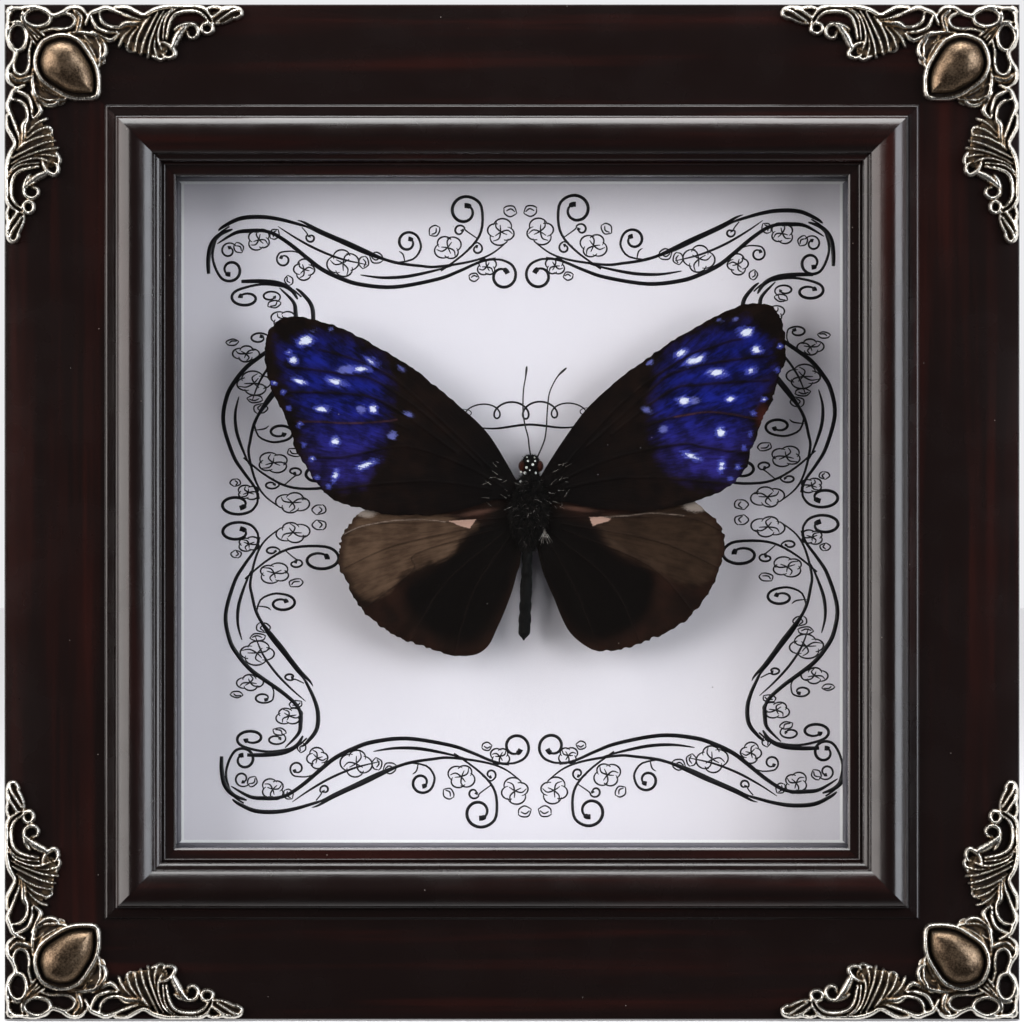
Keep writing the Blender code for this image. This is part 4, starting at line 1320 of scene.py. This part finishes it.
rightWings = {
    "forewing": [
        (1.6, 4.6), (2.8, 7.2), (6.7, 13.2), (10.5, 18.1), (15.4, 22.6), (19.6, 25.8), (24.1, 28.9),
        (28.6, 31.5), (33.0, 33.8), (36.0, 35.0), (38.3, 35.3), (40.5, 35.1), (42.3, 33.5), (43.2, 31.1),
        (43.5, 28.4), (43.5, 25.3), (42.5, 23.1), (41.8, 20.4), (41.2, 18.4), (39.7, 15.6), (38.6, 12.4),
        (37.6, 10.0), (37.0, 7.5), (35.0, 4.9), (32.5, 3.3), (28.6, 1.8), (24.9, 0.8), (20.2, 0.0),
        (15.4, 0.2), (10.5, 0.8), (6.4, 1.7), (2.0, 1.8),
    ],
    "hindwing": [
        (1.0, 2.4), (10.0, 4.5), (23.0, 4.2), (28.9, 1.5), (31.5, -0.8), (33.0, -2.7), (33.3, -4.7),
        (33.1, -7.5), (32.3, -10.4), (31.1, -13.2), (28.9, -16.1), (26.6, -18.6), (23.3, -20.6),
        (19.7, -22.1), (16.2, -23.3), (12.7, -23.6), (10.9, -23.3), (8.7, -21.9), (6.9, -20.1),
        (5.5, -17.4), (4.4, -14.6), (3.2, -11.9), (2.2, -9.0), (0.8, -2.0),
    ],
    "spots": [
        (36.6, 30.4, 2.6, 1.7, 5), (38.5, 27.3, 1.8, 1.3, 0), (37.6, 23.8, 1.7, 1.0, 20),
        (25.8, 26.8, 2.4, 1.2, 25), (28.1, 25.6, 3.6, 1.4, 22), (31.8, 23.4, 3.0, 1.6, 5),
        (26.3, 18.7, 2.4, 1.6, 0), (34.1, 19.1, 1.5, 1.0, 0), (32.5, 13.4, 1.8, 1.7, 0),
        (27.6, 9.4, 3.2, 1.1, -18), (32.6, 7.7, 1.2, 2.0, 0),
    ],
    "dimSpots": [
        (19.9, 17.2, 1.7, 1.0, -20), (22.8, 13.9, 1.5, 1.3, 0), (20.6, 25.1, 1.3, 0.8, 20),
        (35.0, 32.5, 1.0, 0.7, 0), (32.3, 32.3, 1.0, 0.7, 0), (28.0, 18.8, 1.8, 1.3, 0),
    ],
    "dots": [
        (42.5, 27.9), (42.0, 23.9), (39.7, 19.1), (38.0, 16.6), (37.5, 13.0), (36.3, 10.9), (35.3, 7.5),
        (34.1, 5.7),
    ],
    "veins": [
        [(35.8, 29.1), (34.1, 28.8), (30.7, 27.6), (26.4, 26.0), (16.0, 18.5), (5.0, 6.5)],
        [(39.5, 26.2), (37.5, 26.0), (33.2, 25.4), (29.0, 24.7), (25.6, 23.7), (22.7, 22.3), (10.0, 11.0)],
        [(40.5, 22.2), (37.5, 22.0), (33.2, 21.8), (29.0, 21.4), (23.9, 20.4), (14.0, 13.0)],
        [(38.8, 15.6), (36.6, 16.0), (31.5, 16.8), (29.0, 16.7), (24.7, 16.0), (20.0, 14.5)],
        [(37.0, 10.0), (34.1, 10.2), (29.0, 11.0), (25.6, 11.4), (14.0, 9.0), (4.0, 4.5)],
        [(34.0, 4.6), (27.0, 5.4), (16.0, 5.8), (6.0, 4.0)],
    ],
    "redVein": [(24.7, 16.0), (29.0, 16.7), (31.5, 16.8), (34.1, 16.5), (36.6, 16.0), (38.6, 15.6)],
    "blue": [
        (23.0, 26.6), (29.0, 30.2), (34.1, 32.0), (38.4, 31.8), (41.2, 29.4), (41.3, 26.9), (41.5, 23.5),
        (40.3, 20.9), (38.5, 17.5), (37.7, 13.2), (36.5, 8.7), (34.1, 4.6), (28.9, 4.6), (23.6, 6.4),
        (20.8, 12.0), (20.6, 15.8), (21.0, 22.0),
    ],
    "fringe": [(41.6, 18.4), (38.8, 12.4)],
    "translucent": (39.6, 16.0, 1.6, 2.8),
    "hindPatch": [
        (33.6, -3.5), (33.6, -7.5), (31.6, -11.0), (28.7, -12.6), (25.5, -12.2), (22.2, -10.2),
        (19.5, -8.8), (16.5, -7.6), (13.4, -5.4), (11.5, -2.8), (10.0, -1.0), (18.0, -0.2), (26.0, 1.8),
        (31.6, -0.2),
    ],
    "velvet": [
        (1.0, -2.0), (10.0, -2.0), (13.0, -5.8), (16.6, -8.4), (20.5, -10.5), (20.0, -17.0), (14.0, -21.0),
        (8.0, -20.0), (3.0, -12.0),
    ],
    "tear": [(10.2, -0.8), (12.5, -0.7), (14.4, -1.2), (12.6, -1.9), (10.9, -2.4)],
    "strip": (8.6, 0.5, 9.0, 1.3, -6),
    "tone": 1.0,
    "hindVein": [(12.0, -0.9), (17.0, -0.6), (21.0, -0.2), (26.4, -0.6)],
    "hindVeins": [
        [(32.2, -3.0), (26.4, -0.9), (12.0, -0.9), (4.0, -0.8)], [(32.4, -9.5), (22.0, -5.0), (6.0, -2.0)],
        [(28.0, -17.0), (20.4, -9.0), (6.0, -3.0)], [(19.0, -22.2), (14.0, -12.0), (4.0, -3.5)],
        [(12.0, -23.4), (8.0, -13.0), (3.0, -4.0)],
    ],
    "wedge": (28.2, 1.0),
}


def wingDepth(out, kind):
    camber = butterfly[kind]["crown"] * np.sin(np.clip(out / butterfly["crownReach"], 0, 1) * math.pi)
    return butterfly[kind]["root"] + butterfly["rise"] * out + camber


def ellipseField(points, spots):
    # positive inside the nearest of the ellipses: place, width, height and tilt of each
    field = np.full(len(points), -1.5)
    for out, up, width, height, tilt in spots:
        angle = math.radians(tilt)
        x, z = points[:, 0] - out, points[:, 1] - up
        u = (x * math.cos(angle) + z * math.sin(angle)) / (width / 2)
        v = (z * math.cos(angle) - x * math.sin(angle)) / (height / 2)
        field = np.maximum(field, (1 - np.hypot(u, v)) * min(width, height) / 2)
    return field


def raggedLoop(controls, size, seed):
    # the wing's outline with small worn scallops along its outer margin
    loop = smoothLine(controls, 14, closed=True)
    rng = np.random.default_rng(seed)
    steps = np.diff(np.vstack([loop, loop[:1]]), axis=0)
    run = np.cumsum(np.hypot(*steps.T))
    outward = np.column_stack([steps[:, 1], -steps[:, 0]]) / np.hypot(*steps.T)[:, None]
    if np.cross(loop[1:] - loop[:-1], loop[:-1] - loop.mean(0)).sum() > 0:
        outward = -outward
    worn = np.clip((loop[:, 0] - 9.0) / 8.0, 0, 1)
    wave = np.abs(np.sin(run * 1.15 + rng.uniform(0, 6))) * 0.6 + 0.4 * np.sin(run * 3.7 + rng.uniform(0, 6))
    nicks = blurred(rng.normal(size=(1, len(loop))), 1.5)[0]
    bites = 0.55 - wave * 0.5 + 1.1 * np.abs(nicks)
    return loop - outward * (0.65 * size * worn * bites)[:, None]


def nearestLine(points, lines):
    best = np.full(len(points), 9.0)
    for line in lines:
        away, _ = distanceTo(points, smoothLine(line, 6))
        best = np.minimum(best, away)
    return best


def wingSheet(kind, shapes, side, seed):
    look = butterfly[kind]
    loop = raggedLoop(shapes[kind], look["ragged"], seed)
    xs, zs, points = gridOf(loop.min(0) - 0.6, loop.max(0) + 0.6, butterfly["cell"])
    field = signedDistance(points, loop).reshape(len(zs), len(xs))
    places, faces, used = cutSheet(xs, zs, field)
    out, up = places.T
    rim = np.clip(field.ravel()[used], 0, 6)
    hills = roughness2d(len(zs), len(xs), 9.0, seed + 1).ravel()[used]
    veins = nearestLine(places, shapes[look["veins"]])
    ridge = butterfly["veinHeight"] * np.exp(-((veins / 0.2) ** 2))
    pleat = 0.10 * np.clip(veins / 2.0, 0, 1)
    depth = wingDepth(out, kind) + ridge - pleat + 0.05 * hills
    half = butterfly["thickness"] / 2 * np.clip(rim / 0.4, 0.35, 1)
    flat, closed = closeSheet(places, faces, depth + half, depth - half)
    flat[:, 0] = butterfly["middle"] + side * flat[:, 0]
    if side < 0:
        closed = closed[:, ::-1]
    rise = up - look["rootUp"]
    reach, fan = np.hypot(out - 1.0, rise), np.arctan2(rise, out + 2.0)
    return flat, closed, places, {"rim": rim, "vein": veins, "reach": reach, "fan": fan}


def insideLine(places, controls):
    return signedDistance(places, smoothLine(controls, 4, closed=True))


def forewingValues(places, shapes, values):
    dots = ellipseField(places, [(*dot, 0.62, 0.55, 0) for dot in shapes["dots"]])
    values["spot"] = np.maximum(ellipseField(places, shapes["spots"]), dots)
    values["dim"] = ellipseField(places, shapes["dimSpots"])
    values["blue"] = insideLine(places, shapes["blue"])
    values["red"] = distanceTo(places, smoothLine(shapes["redVein"], 6))[0]
    values["fringe"] = ellipseField(places, [(*place, 0.9, 0.7, 0) for place in shapes["fringe"]])
    out, up, wide, tall = shapes["translucent"]
    values["thin"] = np.clip(1 - np.hypot((places[:, 0] - out) / wide, (places[:, 1] - up) / tall), 0, 1)
    values["height"] = places[:, 1]


def hindwingValues(places, shapes, values):
    values["patch"] = insideLine(places, shapes["hindPatch"])
    values["velvet"] = insideLine(places, shapes["velvet"])
    values["tear"] = signedDistance(places, np.array(shapes["tear"]))
    values["strip"] = ellipseField(places, [shapes["strip"]])
    values["tone"] = np.full(len(places), shapes["tone"])
    values["light"] = distanceTo(places, smoothLine(shapes["hindVein"], 6))[0]
    out, up = shapes["wedge"]
    values["wedge"] = 1.7 - np.hypot((places[:, 0] - out) / 1.5, (places[:, 1] - up) / 0.8)


def wingScales(name, across, along, cloudScale):
    # the noises that both wings share; the streaks are scale rows that fan out from the wing's root
    g = Graph(name)
    place = g.millimetres()
    fanned = g.node("ShaderNodeCombineXYZ", None, {0: g.value("fan") * across, 1: g.value("reach") * along})
    streaks = g.noise(fanned, 1.0, 4.0, 0.6)
    return g, place, streaks, g.noise(place, 5.0, 4.0, 0.7), g.noise(place, cloudScale, 3.0)


def wingSurface(g, place, colour, height):
    scales = g.noise(place, 9.0, 1.0)
    dull = {"Specular IOR Level": 0.05}
    return g.surface(colour, g.spread(scales, 0.5, 0.64), scales * 0.03 + height, dull)


def forewingFinish():
    g, place, streaks, fine, cloud = wingScales("forewingScales", 60.0, 0.35, 0.35)
    vein = g.value("vein")
    ground = g.tints(g.smooth(cloud, 0.35, 0.7), (14, 9, 8), (24, 15, 12))
    ground = g.coats(ground, (g.smooth(streaks, 0.52, 0.8) * 0.4, 34, 22, 17))
    low = g.smooth(g.value("height"), 20.0, 7.0)
    blue = g.tints(low, (24, 31, 120), (43, 38, 118))
    shade = g.tints(low, (11, 12, 46), (26, 20, 60))
    blue = g.blend(g.smooth(streaks * 0.5 + cloud * 0.5, 0.38, 0.64), shade, blue)
    edge = g.value("blue") + (streaks - 0.5) * 2.0 + (cloud - 0.5) * 3.0 + (fine - 0.5) * 1.2
    veins = g.smooth(vein + (fine - 0.5) * 0.12, 0.34, 0.06)
    covered = g.smooth(edge, -1.2, 3.6) * (1 - veins * 0.75) * (1 - g.smooth(vein, 1.6, 0.1) * 0.5)
    rust = g.smooth(g.value("red") + (fine - 0.5) * 0.2, 0.26, 0.04)
    broken = g.smooth(cloud + (fine - 0.5) * 0.8, 0.4, 0.6)
    fuzz = (fine - 0.5) * 1.1 + (streaks - 0.5) * 1.5
    spot = g.value("spot") + fuzz
    bits = g.smooth(g.value("fringe") + (fine - 0.5) * 0.3, 0.0, 0.2) * g.smooth(g.value("rim"), 0.6, 0.2)
    colour = g.coats(
        g.blend(covered, ground, blue),
        (rust * (broken * 0.4 + 0.12), 84, 52, 56),
        (g.smooth(g.value("dim") + fuzz, -0.15, 0.4) * 0.75, 104, 108, 178),
        (g.smooth(spot, -0.35, 0.1) * 0.5, 84, 92, 196),
        (g.smooth(spot, 0.16, 0.38) * 0.95, 216, 221, 238),
        (g.value("thin") * 0.8, 66, 28, 22),
        (g.smooth(g.value("reach"), 24.0, 4.0) * 0.9, 9, 7, 7),
        (bits, 222, 214, 206),
        (g.dots(place, 0.55, 0.05, 0.16) * 0.7, 170, 164, 170),
    )
    return wingSurface(g, place, colour, streaks * 0.05 + veins * 0.05)


def hindwingFinish():
    g, place, streaks, fine, cloud = wingScales("hindwingScales", 42.0, 0.3, 0.25)
    velvet = g.smooth(g.value("velvet") + (cloud - 0.5) * 3.0, -1.8, 1.2)
    dark = g.coats(
        g.tints(g.smooth(cloud, 0.35, 0.7), (22, 14, 11), (36, 21, 16)),
        (g.smooth(streaks, 0.5, 0.8) * 0.4, 43, 28, 22),
        (velvet, 11, 8, 7),
    )
    pale = g.tints(g.value("tone"), (86, 67, 53), (52, 38, 29))
    shade = g.tints(g.value("tone"), (58, 43, 33), (35, 25, 19))
    brown = g.blend(g.smooth(streaks * 0.5 + cloud * 0.5, 0.36, 0.66), shade, pale)
    patch = g.value("patch")
    covered = g.smooth(patch + (streaks - 0.5) * 1.4 + (cloud - 0.5) * 2.0, -0.4, 1.0)
    lit = g.smooth(patch, 0.2, 1.6) * g.smooth(patch, 4.6, 1.6) * velvet
    brown = g.coats(brown, (lit * 0.6, 112, 96, 84))
    rim = g.smooth(g.value("rim"), 0.2, 1.3)
    veins = g.smooth(g.value("vein") + (fine - 0.5) * 0.1, 0.22, 0.05)
    ridge = g.smooth(g.value("light") + (fine - 0.5) * 0.25, 0.17, 0.03)
    torn = g.smooth(g.value("tear") + (fine - 0.5) * 0.5 + (streaks - 0.5) * 0.6, 0.0, 0.16)
    wedge = g.smooth(g.value("wedge") + (fine - 0.5) * 1.4 + (streaks - 0.5) * 1.2, 0.1, 0.8)
    colour = g.coats(
        g.blend(covered * (0.3 + rim * 0.7), dark, brown),
        (veins * 0.45, 26, 18, 15),
        (g.smooth(g.value("reach"), 8.0, 3.0) * 0.8, 12, 10, 9),
        (g.smooth(g.value("strip") + (fine - 0.5) * 0.6, 0.0, 0.6) * 0.55, 96, 68, 58),
        (ridge * 0.5, 150, 134, 124),
        (torn * 0.9, 178, 144, 130),
        (wedge * 0.7, 150, 138, 130),
        (g.dots(place, 0.5, 0.05, 0.2) * 0.6, 176, 166, 160),
    )
    return wingSurface(g, place, colour, streaks * 0.06 + veins * 0.05)


def makeWings():
    finishes = {"forewing": forewingFinish(), "hindwing": hindwingFinish()}
    markings = {"forewing": forewingValues, "hindwing": hindwingValues}
    for word, side, shapes in (("left", -1, leftWings), ("right", 1, rightWings)):
        for kind in ("hindwing", "forewing"):
            seed = 20 + 5 * (side > 0) + 2 * (kind == "forewing")
            flat, faces, places, values = wingSheet(kind, shapes, side, seed)
            markings[kind](places, shapes, values)
            both = {label: np.tile(numbers, 2) for label, numbers in values.items()}
            piece = addPiece(f"{kind}_{word}_sheet", flat, faces, finishes[kind], both, None, 60.0)
            finishPiece(piece, kind, f"{kind}_{word}")


makeWings()
print("wings ready")


# Body from head to tail: height, sideways drift, half width, half depth

bodyStations = [
    (9.7, 0.5, 0.5, 0.5), (9.3, 0.5, 1.1, 1.0), (8.7, 0.5, 1.45, 1.45), (7.9, 0.5, 1.5, 1.6),
    (7.1, 0.5, 1.45, 1.5), (6.4, 0.5, 1.3, 1.3), (5.8, 0.5, 1.8, 1.7), (4.6, 0.4, 2.7, 2.4),
    (2.6, 0.3, 3.3, 2.9), (0.2, 0.2, 3.4, 3.0), (-2.4, 0.1, 2.9, 2.6), (-4.4, 0.0, 2.0, 1.9),
    (-5.8, -0.1, 1.2, 1.4), (-7.4, -0.15, 0.9, 1.25), (-10.0, -0.2, 0.9, 1.2), (-12.4, -0.3, 1.03, 1.1),
    (-15.0, -0.4, 1.0, 1.15), (-17.6, -0.5, 1.05, 1.1), (-20.2, -0.62, 1.02, 0.95),
    (-20.9, -0.68, 0.78, 0.6), (-21.3, -0.7, 0.34, 0.3), (-21.7, -0.72, 0.1, 0.1),
]
headDots = [
    (-0.15, 9.25, 0.16), (1.1, 9.2, 0.16), (0.0, 8.6, 0.2), (1.2, 8.6, 0.17), (0.8, 8.0, 0.24),
    (-0.25, 7.5, 0.24), (1.85, 7.6, 0.2), (-1.2, 6.75, 0.2), (-0.5, 6.6, 0.27), (1.3, 6.6, 0.22),
    (-1.25, 5.1, 0.24), (0.3, 7.05, 0.13), (2.1, 6.7, 0.13),
]


def bodyRing(up):
    stations = np.array(bodyStations)[::-1]
    return [np.interp(up, stations[:, 0], stations[:, column]) for column in (1, 2, 3)]


def bodyFinish():
    g = Graph("bodyFur")
    place = g.millimetres()
    fur = g.noise(g.scaled(place, 7.0, 7.0, 1.6), 1.0, 4.0, 0.65)
    colour = g.tints(g.smooth(fur, 0.45, 0.75), (7, 7, 7), (27, 24, 23))
    colour = g.coats(colour, (g.dots(place, 0.8, 0.1, 0.3) * 0.6, 150, 146, 144))
    eye = g.value("eye")
    colour = g.blend(eye, colour, g.tints(fur, (34, 14, 9), (62, 28, 18)))
    return g.surface(colour, 0.6 - eye * 0.3, fur * 0.14, {"Specular IOR Level": 0.12})


def makeBody():
    stations = smoothLine(bodyStations, 9)
    sides = butterfly["bodySides"]
    middle, low = butterfly["middle"], butterfly["body"]
    angles = 2 * np.pi * np.arange(sides) / sides
    rng = np.random.default_rng(7)
    rings = []
    for up, drift, wide, deep in stations:
        tail = np.clip((-5.0 - up) / 1.5, 0, 1)
        pinch = 1 - 0.1 * tail * np.abs(np.sin(np.pi * up / 2.0)) ** 8 + 0.035 * tail * math.sin(up * 2.3)
        around = pinch * (1 + (1 - tail) * 0.03 * rng.normal(size=sides))
        x = middle + drift + wide * around * np.cos(angles)
        rings.append(np.column_stack([x, np.full(sides, up), low - deep * around * np.sin(angles)]))
    last = (len(stations) - 1) * sides
    faces = bandFaces(len(stations), sides)
    faces += [tuple(reversed(range(sides))), tuple(last + step for step in range(sides))]
    eye = [0.0] * (last + sides)
    for side in (-1, 1):
        centre = np.array([middle + 0.5 + side * 1.35, 7.75, low + 0.35])
        ball, squares = eyeBall(centre, len(eye))
        rings.append(ball)
        faces += squares
        eye += [1.0] * len(ball)
    piece = addPiece("body", np.vstack(rings), faces, bodyFinish(), {"eye": eye}, None, 60.0)
    faceOutward(piece.data)
    finishPiece(piece, "insect_body", "butterfly_body")


def eyeBall(centre, start):
    # an oval compound eye on the side of the head
    rows, sides = 12, 20
    wide, tall, deep = butterfly["eyeRadii"]
    turns = 2 * np.pi * np.arange(sides) / sides
    flat = []
    for row in range(1, rows):
        angle = math.pi * row / rows
        ring = [wide * math.sin(angle) * np.cos(turns), np.full(sides, tall * math.cos(angle)),
                deep * math.sin(angle) * np.sin(turns)]
        flat.append(centre + np.column_stack(ring))
    flat.append(centre + [[0.0, tall, 0.0], [0.0, -tall, 0.0]])
    last = start + (rows - 2) * sides
    faces = bandFaces(rows - 1, sides, start) + fanFaces(start, sides, last + sides, flip=True)
    return np.vstack(flat), faces + fanFaces(last, sides, last + sides + 1)


# Hairs and scale tufts, grown on the body's surface

hairs = {
    "dark": {
        "look": {"Density": 9.0e7, "Length": 0.0011, "Thickness": 0.000032, "Jitter": 0.8, "Seed": 3},
        "colours": ((12, 11, 11), (40, 36, 34)),
    },
    "pale": {
        "look": {"Density": 1.0e6, "Length": 0.0012, "Thickness": 0.00003, "Jitter": 0.9, "Seed": 8},
        "colours": ((150, 142, 136), (216, 210, 204)),
    },
    # colour, from and to which height, rows, width of the patch, comb up the body, share of the length
    "patches": {
        "thoraxHair": ("dark", -6.4, 5.6, 22, 1.0, -0.9, 1.0),
        "headHair": ("dark", 5.4, 9.6, 12, 0.8, 0.5, 0.5),
        "paleHair": ("pale", -5.6, 5.4, 18, 1.0, -0.7, 1.0),
    },
    "strays": {"count": 16, "half": 0.022, "tuft": 11, "tuftHalf": 0.024, "lift": 0.25},
}


def hairTree():
    # scatters thin cones over a surface, leaning along the comb direction
    g, given = geometryTree("growHair", Density="Float", Length="Float", Thickness="Float", Jitter="Float",
                            Comb="Vector", Seed="Int")
    scatter = g.node("GeometryNodeDistributePointsOnFaces", None, {
        "Mesh": given["Geometry"], "Density": given["Density"], "Seed": given["Seed"],
    })
    normal = Wire(g, scatter.socket.node.outputs["Normal"])
    cone = g.node("GeometryNodeMeshCone", None, {
        "Vertices": 3, "Side Segments": 2, "Depth": given["Length"], "Radius Bottom": given["Thickness"],
    })
    ends = {0: (-1.0, -1.0, -1.0), 1: (1.0, 1.0, 1.0), "Seed": given["Seed"]}
    draw = g.node("FunctionNodeRandomValue", {"data_type": "FLOAT_VECTOR"}, ends)
    shake = g.node("ShaderNodeVectorMath", {"operation": "SCALE"}, {0: draw, "Scale": given["Jitter"]})
    lean = g.node("ShaderNodeVectorMath", {"operation": "ADD"}, {0: normal, 1: given["Comb"]})
    aim = g.node("ShaderNodeVectorMath", {"operation": "ADD"}, {0: lean, 1: shake})
    turned = g.node("FunctionNodeAlignRotationToVector", {"axis": "Z"}, {"Vector": aim})
    sizes = {2: 0.45, 3: 1.15, "Seed": given["Seed"]}
    size = g.node("FunctionNodeRandomValue", {"data_type": "FLOAT"}, sizes, 1)
    return closeTree(g, given, g.node("GeometryNodeInstanceOnPoints", None, {
        "Points": scatter, "Instance": cone, "Rotation": turned, "Scale": size,
    }))


def hairFinish(name, dark, light):
    g = Graph(name)
    tint = g.noise(g.millimetres(), 1.5)
    colour = g.tints(g.smooth(tint, 0.35, 0.7), dark, light)
    return g.surface(colour, g.spread(tint, 0.5, 0.65), None, {"Specular IOR Level": 0.15})


def growPatch(ups, wide):
    # the part of the body's skin that hair grows from, as a bare mesh
    sides = 36
    angles = np.pi * (0.5 + wide * (np.arange(sides) / (sides - 1) - 0.5))
    rows = []
    for up in ups:
        drift, half, deep = bodyRing(up)
        x = butterfly["middle"] + drift + half * np.cos(angles)
        depth = butterfly["body"] + deep * np.abs(np.sin(angles))
        rows.append(np.column_stack([x, np.full(sides, up), depth]))
    mesh = bpy.data.meshes.new("skin")
    mesh.from_pydata(toWorld(np.vstack(rows)), [], bandFaces(len(ups), sides, wrap=False))
    bm = bmesh.new()
    bm.from_mesh(mesh)
    for skinFace in bm.faces:
        if skinFace.normal.y > 0:
            skinFace.normal_flip()
    bm.to_mesh(mesh)
    bm.free()
    return linkObject("skin", mesh)


def makeHairs():
    tree = hairTree()
    finishes = {key: hairFinish(f"{key}Hair", *hairs[key]["colours"]) for key in ("dark", "pale")}
    for name, (key, low, high, rows, wide, comb, share) in hairs["patches"].items():
        settings = {**hairs[key]["look"], "Comb": (0.0, 0.0, comb), "Finish": finishes[key]}
        settings["Length"] *= share
        piece = bakeTree(name, growPatch(np.linspace(low, high, rows), wide), tree, settings)
        print(name, len(piece.data.polygons), "faces")
        finishPiece(piece, "insect_body")


def makeHeadDots():
    # little tufts of white scales
    g = Graph("whiteScales")
    grain = g.noise(g.millimetres(), 8.0)
    finish = g.surface(g.tints(grain, (244, 244, 240), (206, 204, 200)), 0.6, grain * 0.05)
    bm = bmesh.new()
    for out, up, radius in headDots:
        drift, half, deep = bodyRing(up)
        share = np.clip((out - drift) / half, -0.9, 0.9)
        depth = butterfly["body"] + deep * math.sqrt(1 - share**2) + 0.12
        centre = Vector(toWorld([(butterfly["middle"] + out, up, depth)])[0])
        made = bmesh.ops.create_icosphere(bm, subdivisions=2, radius=radius * mm)
        for vert in made["verts"]:
            vert.co = centre + Vector((vert.co.x, vert.co.y * 0.7, vert.co.z))
    finishPiece(placeMesh("headDots", meshFrom(bm, "headDots"), finish, 180.0), "insect_body")


def makeStrayHairs():
    # long single hairs over the wing roots, and a pale tuft beside the tail's root
    look = hairs["strays"]
    middle = butterfly["middle"]
    rng = np.random.default_rng(31)
    lines = []
    for side in (-1, 1):
        for _ in range(look["count"]):
            out, up = rng.uniform(2.6, 6.6), rng.uniform(0.5, 8.4)
            angle = math.radians(rng.uniform(-40, 70))
            length = rng.uniform(0.4, 1.7)
            bend = rng.uniform(-0.3, 0.3)
            t = np.linspace(0, 1, 7)
            x = out + length * t * math.cos(angle) - bend * t**2 * math.sin(angle)
            z = up + length * t * math.sin(angle) + bend * t**2 * math.cos(angle)
            lines.append(np.column_stack([middle + side * x, z, look["half"] * (1 - 0.8 * t)]))
    for step in range(look["tuft"]):
        t = np.linspace(0, 1, 6)
        x = 2.75 + rng.uniform(-0.12, 0.12) + (step / 4.4 - 0.9) * t
        z = -2.9 - rng.uniform(0, 0.4) - rng.uniform(1.2, 2.4) * t
        lines.append(np.column_stack([middle + x, z, look["tuftHalf"] * (1 - 0.6 * t)]))

    def over(line):
        return wingDepth(np.abs(line[:, 0] - middle), "forewing") + look["lift"]

    finish = hairFinish("strayHair", (116, 108, 102), (214, 208, 202))
    piece = sweepLines("strayHairs", lines, over, 0.7, finish, bpy.data.node_groups["sweepInk"])
    finishPiece(piece, "insect_body")


antennae = {
    "left": [
        (0.45, 9.5), (0.2, 11.0), (0.0, 12.7), (-0.5, 14.6), (-0.8, 16.6), (-0.85, 18.6), (-0.75, 20.7),
        (-0.4, 22.8), (-0.2, 24.6),
    ],
    "right": [
        (1.6, 9.3), (2.1, 10.4), (2.8, 12.2), (3.1, 14.2), (3.2, 16.2), (3.35, 18.2), (3.6, 20.0),
        (4.3, 21.7), (5.2, 23.1), (6.5, 24.3),
    ],
    "radius": 0.115,
    "club": 0.2,
    "depths": (-11.6, -10.0),
    "joints": 42,
}


def tubeAlong(path, radii, sides):
    # a closed tube round a path
    steps = np.gradient(path, axis=0)
    steps /= np.linalg.norm(steps, axis=1)[:, None]
    side = np.cross(steps, np.array([0.0, 0.0, 1.0]))
    side /= np.linalg.norm(side, axis=1)[:, None]
    up = np.cross(side, steps)
    angles = 2 * np.pi * np.arange(sides) / sides
    ring = side[:, None, :] * np.cos(angles)[None, :, None] + up[:, None, :] * np.sin(angles)[None, :, None]
    flat = (path[:, None, :] + ring * radii[:, None, None]).reshape(-1, 3)
    last = (len(path) - 1) * sides
    faces = bandFaces(len(path), sides, flip=True)
    faces += [tuple(range(sides)), tuple(last + step for step in reversed(range(sides)))]
    return flat, faces


def makeAntennae():
    g = Graph("feeler")
    bands = g.noise(g.millimetres(), 3.0)
    colour = g.tints(g.smooth(bands, 0.4, 0.7), (10, 10, 11), (34, 31, 32))
    finish = g.surface(colour, g.spread(bands, 0.3, 0.45))
    rootDepth, tipDepth = antennae["depths"]
    radius = antennae["radius"]
    for side in ("left", "right"):
        line = smoothLine(antennae[side], 24)
        t = np.linspace(0, 1, len(line))
        x = line[:, 0] + butterfly["middle"]
        path = np.column_stack([x, line[:, 1], rootDepth + (tipDepth - rootDepth) * t])
        ringed = 1 + 0.16 * np.abs(np.sin(np.pi * antennae["joints"] * t))
        club = np.exp(-(((t - 0.94) / 0.05) ** 2)) * (antennae["club"] - radius)
        radii = radius * ringed * (1.1 - 0.25 * t) + club
        radii[-3:] *= (0.85, 0.6, 0.25)
        piece = addPiece(f"feeler_{side}", *tubeAlong(path, radii, 10), finish, None, None, 60.0)
        faceOutward(piece.data)
        finishPiece(piece, "insect_body", f"antenna_{side}")


makeBody()
makeHairs()
makeStrayHairs()
makeHeadDots()
makeAntennae()
print("butterfly ready")
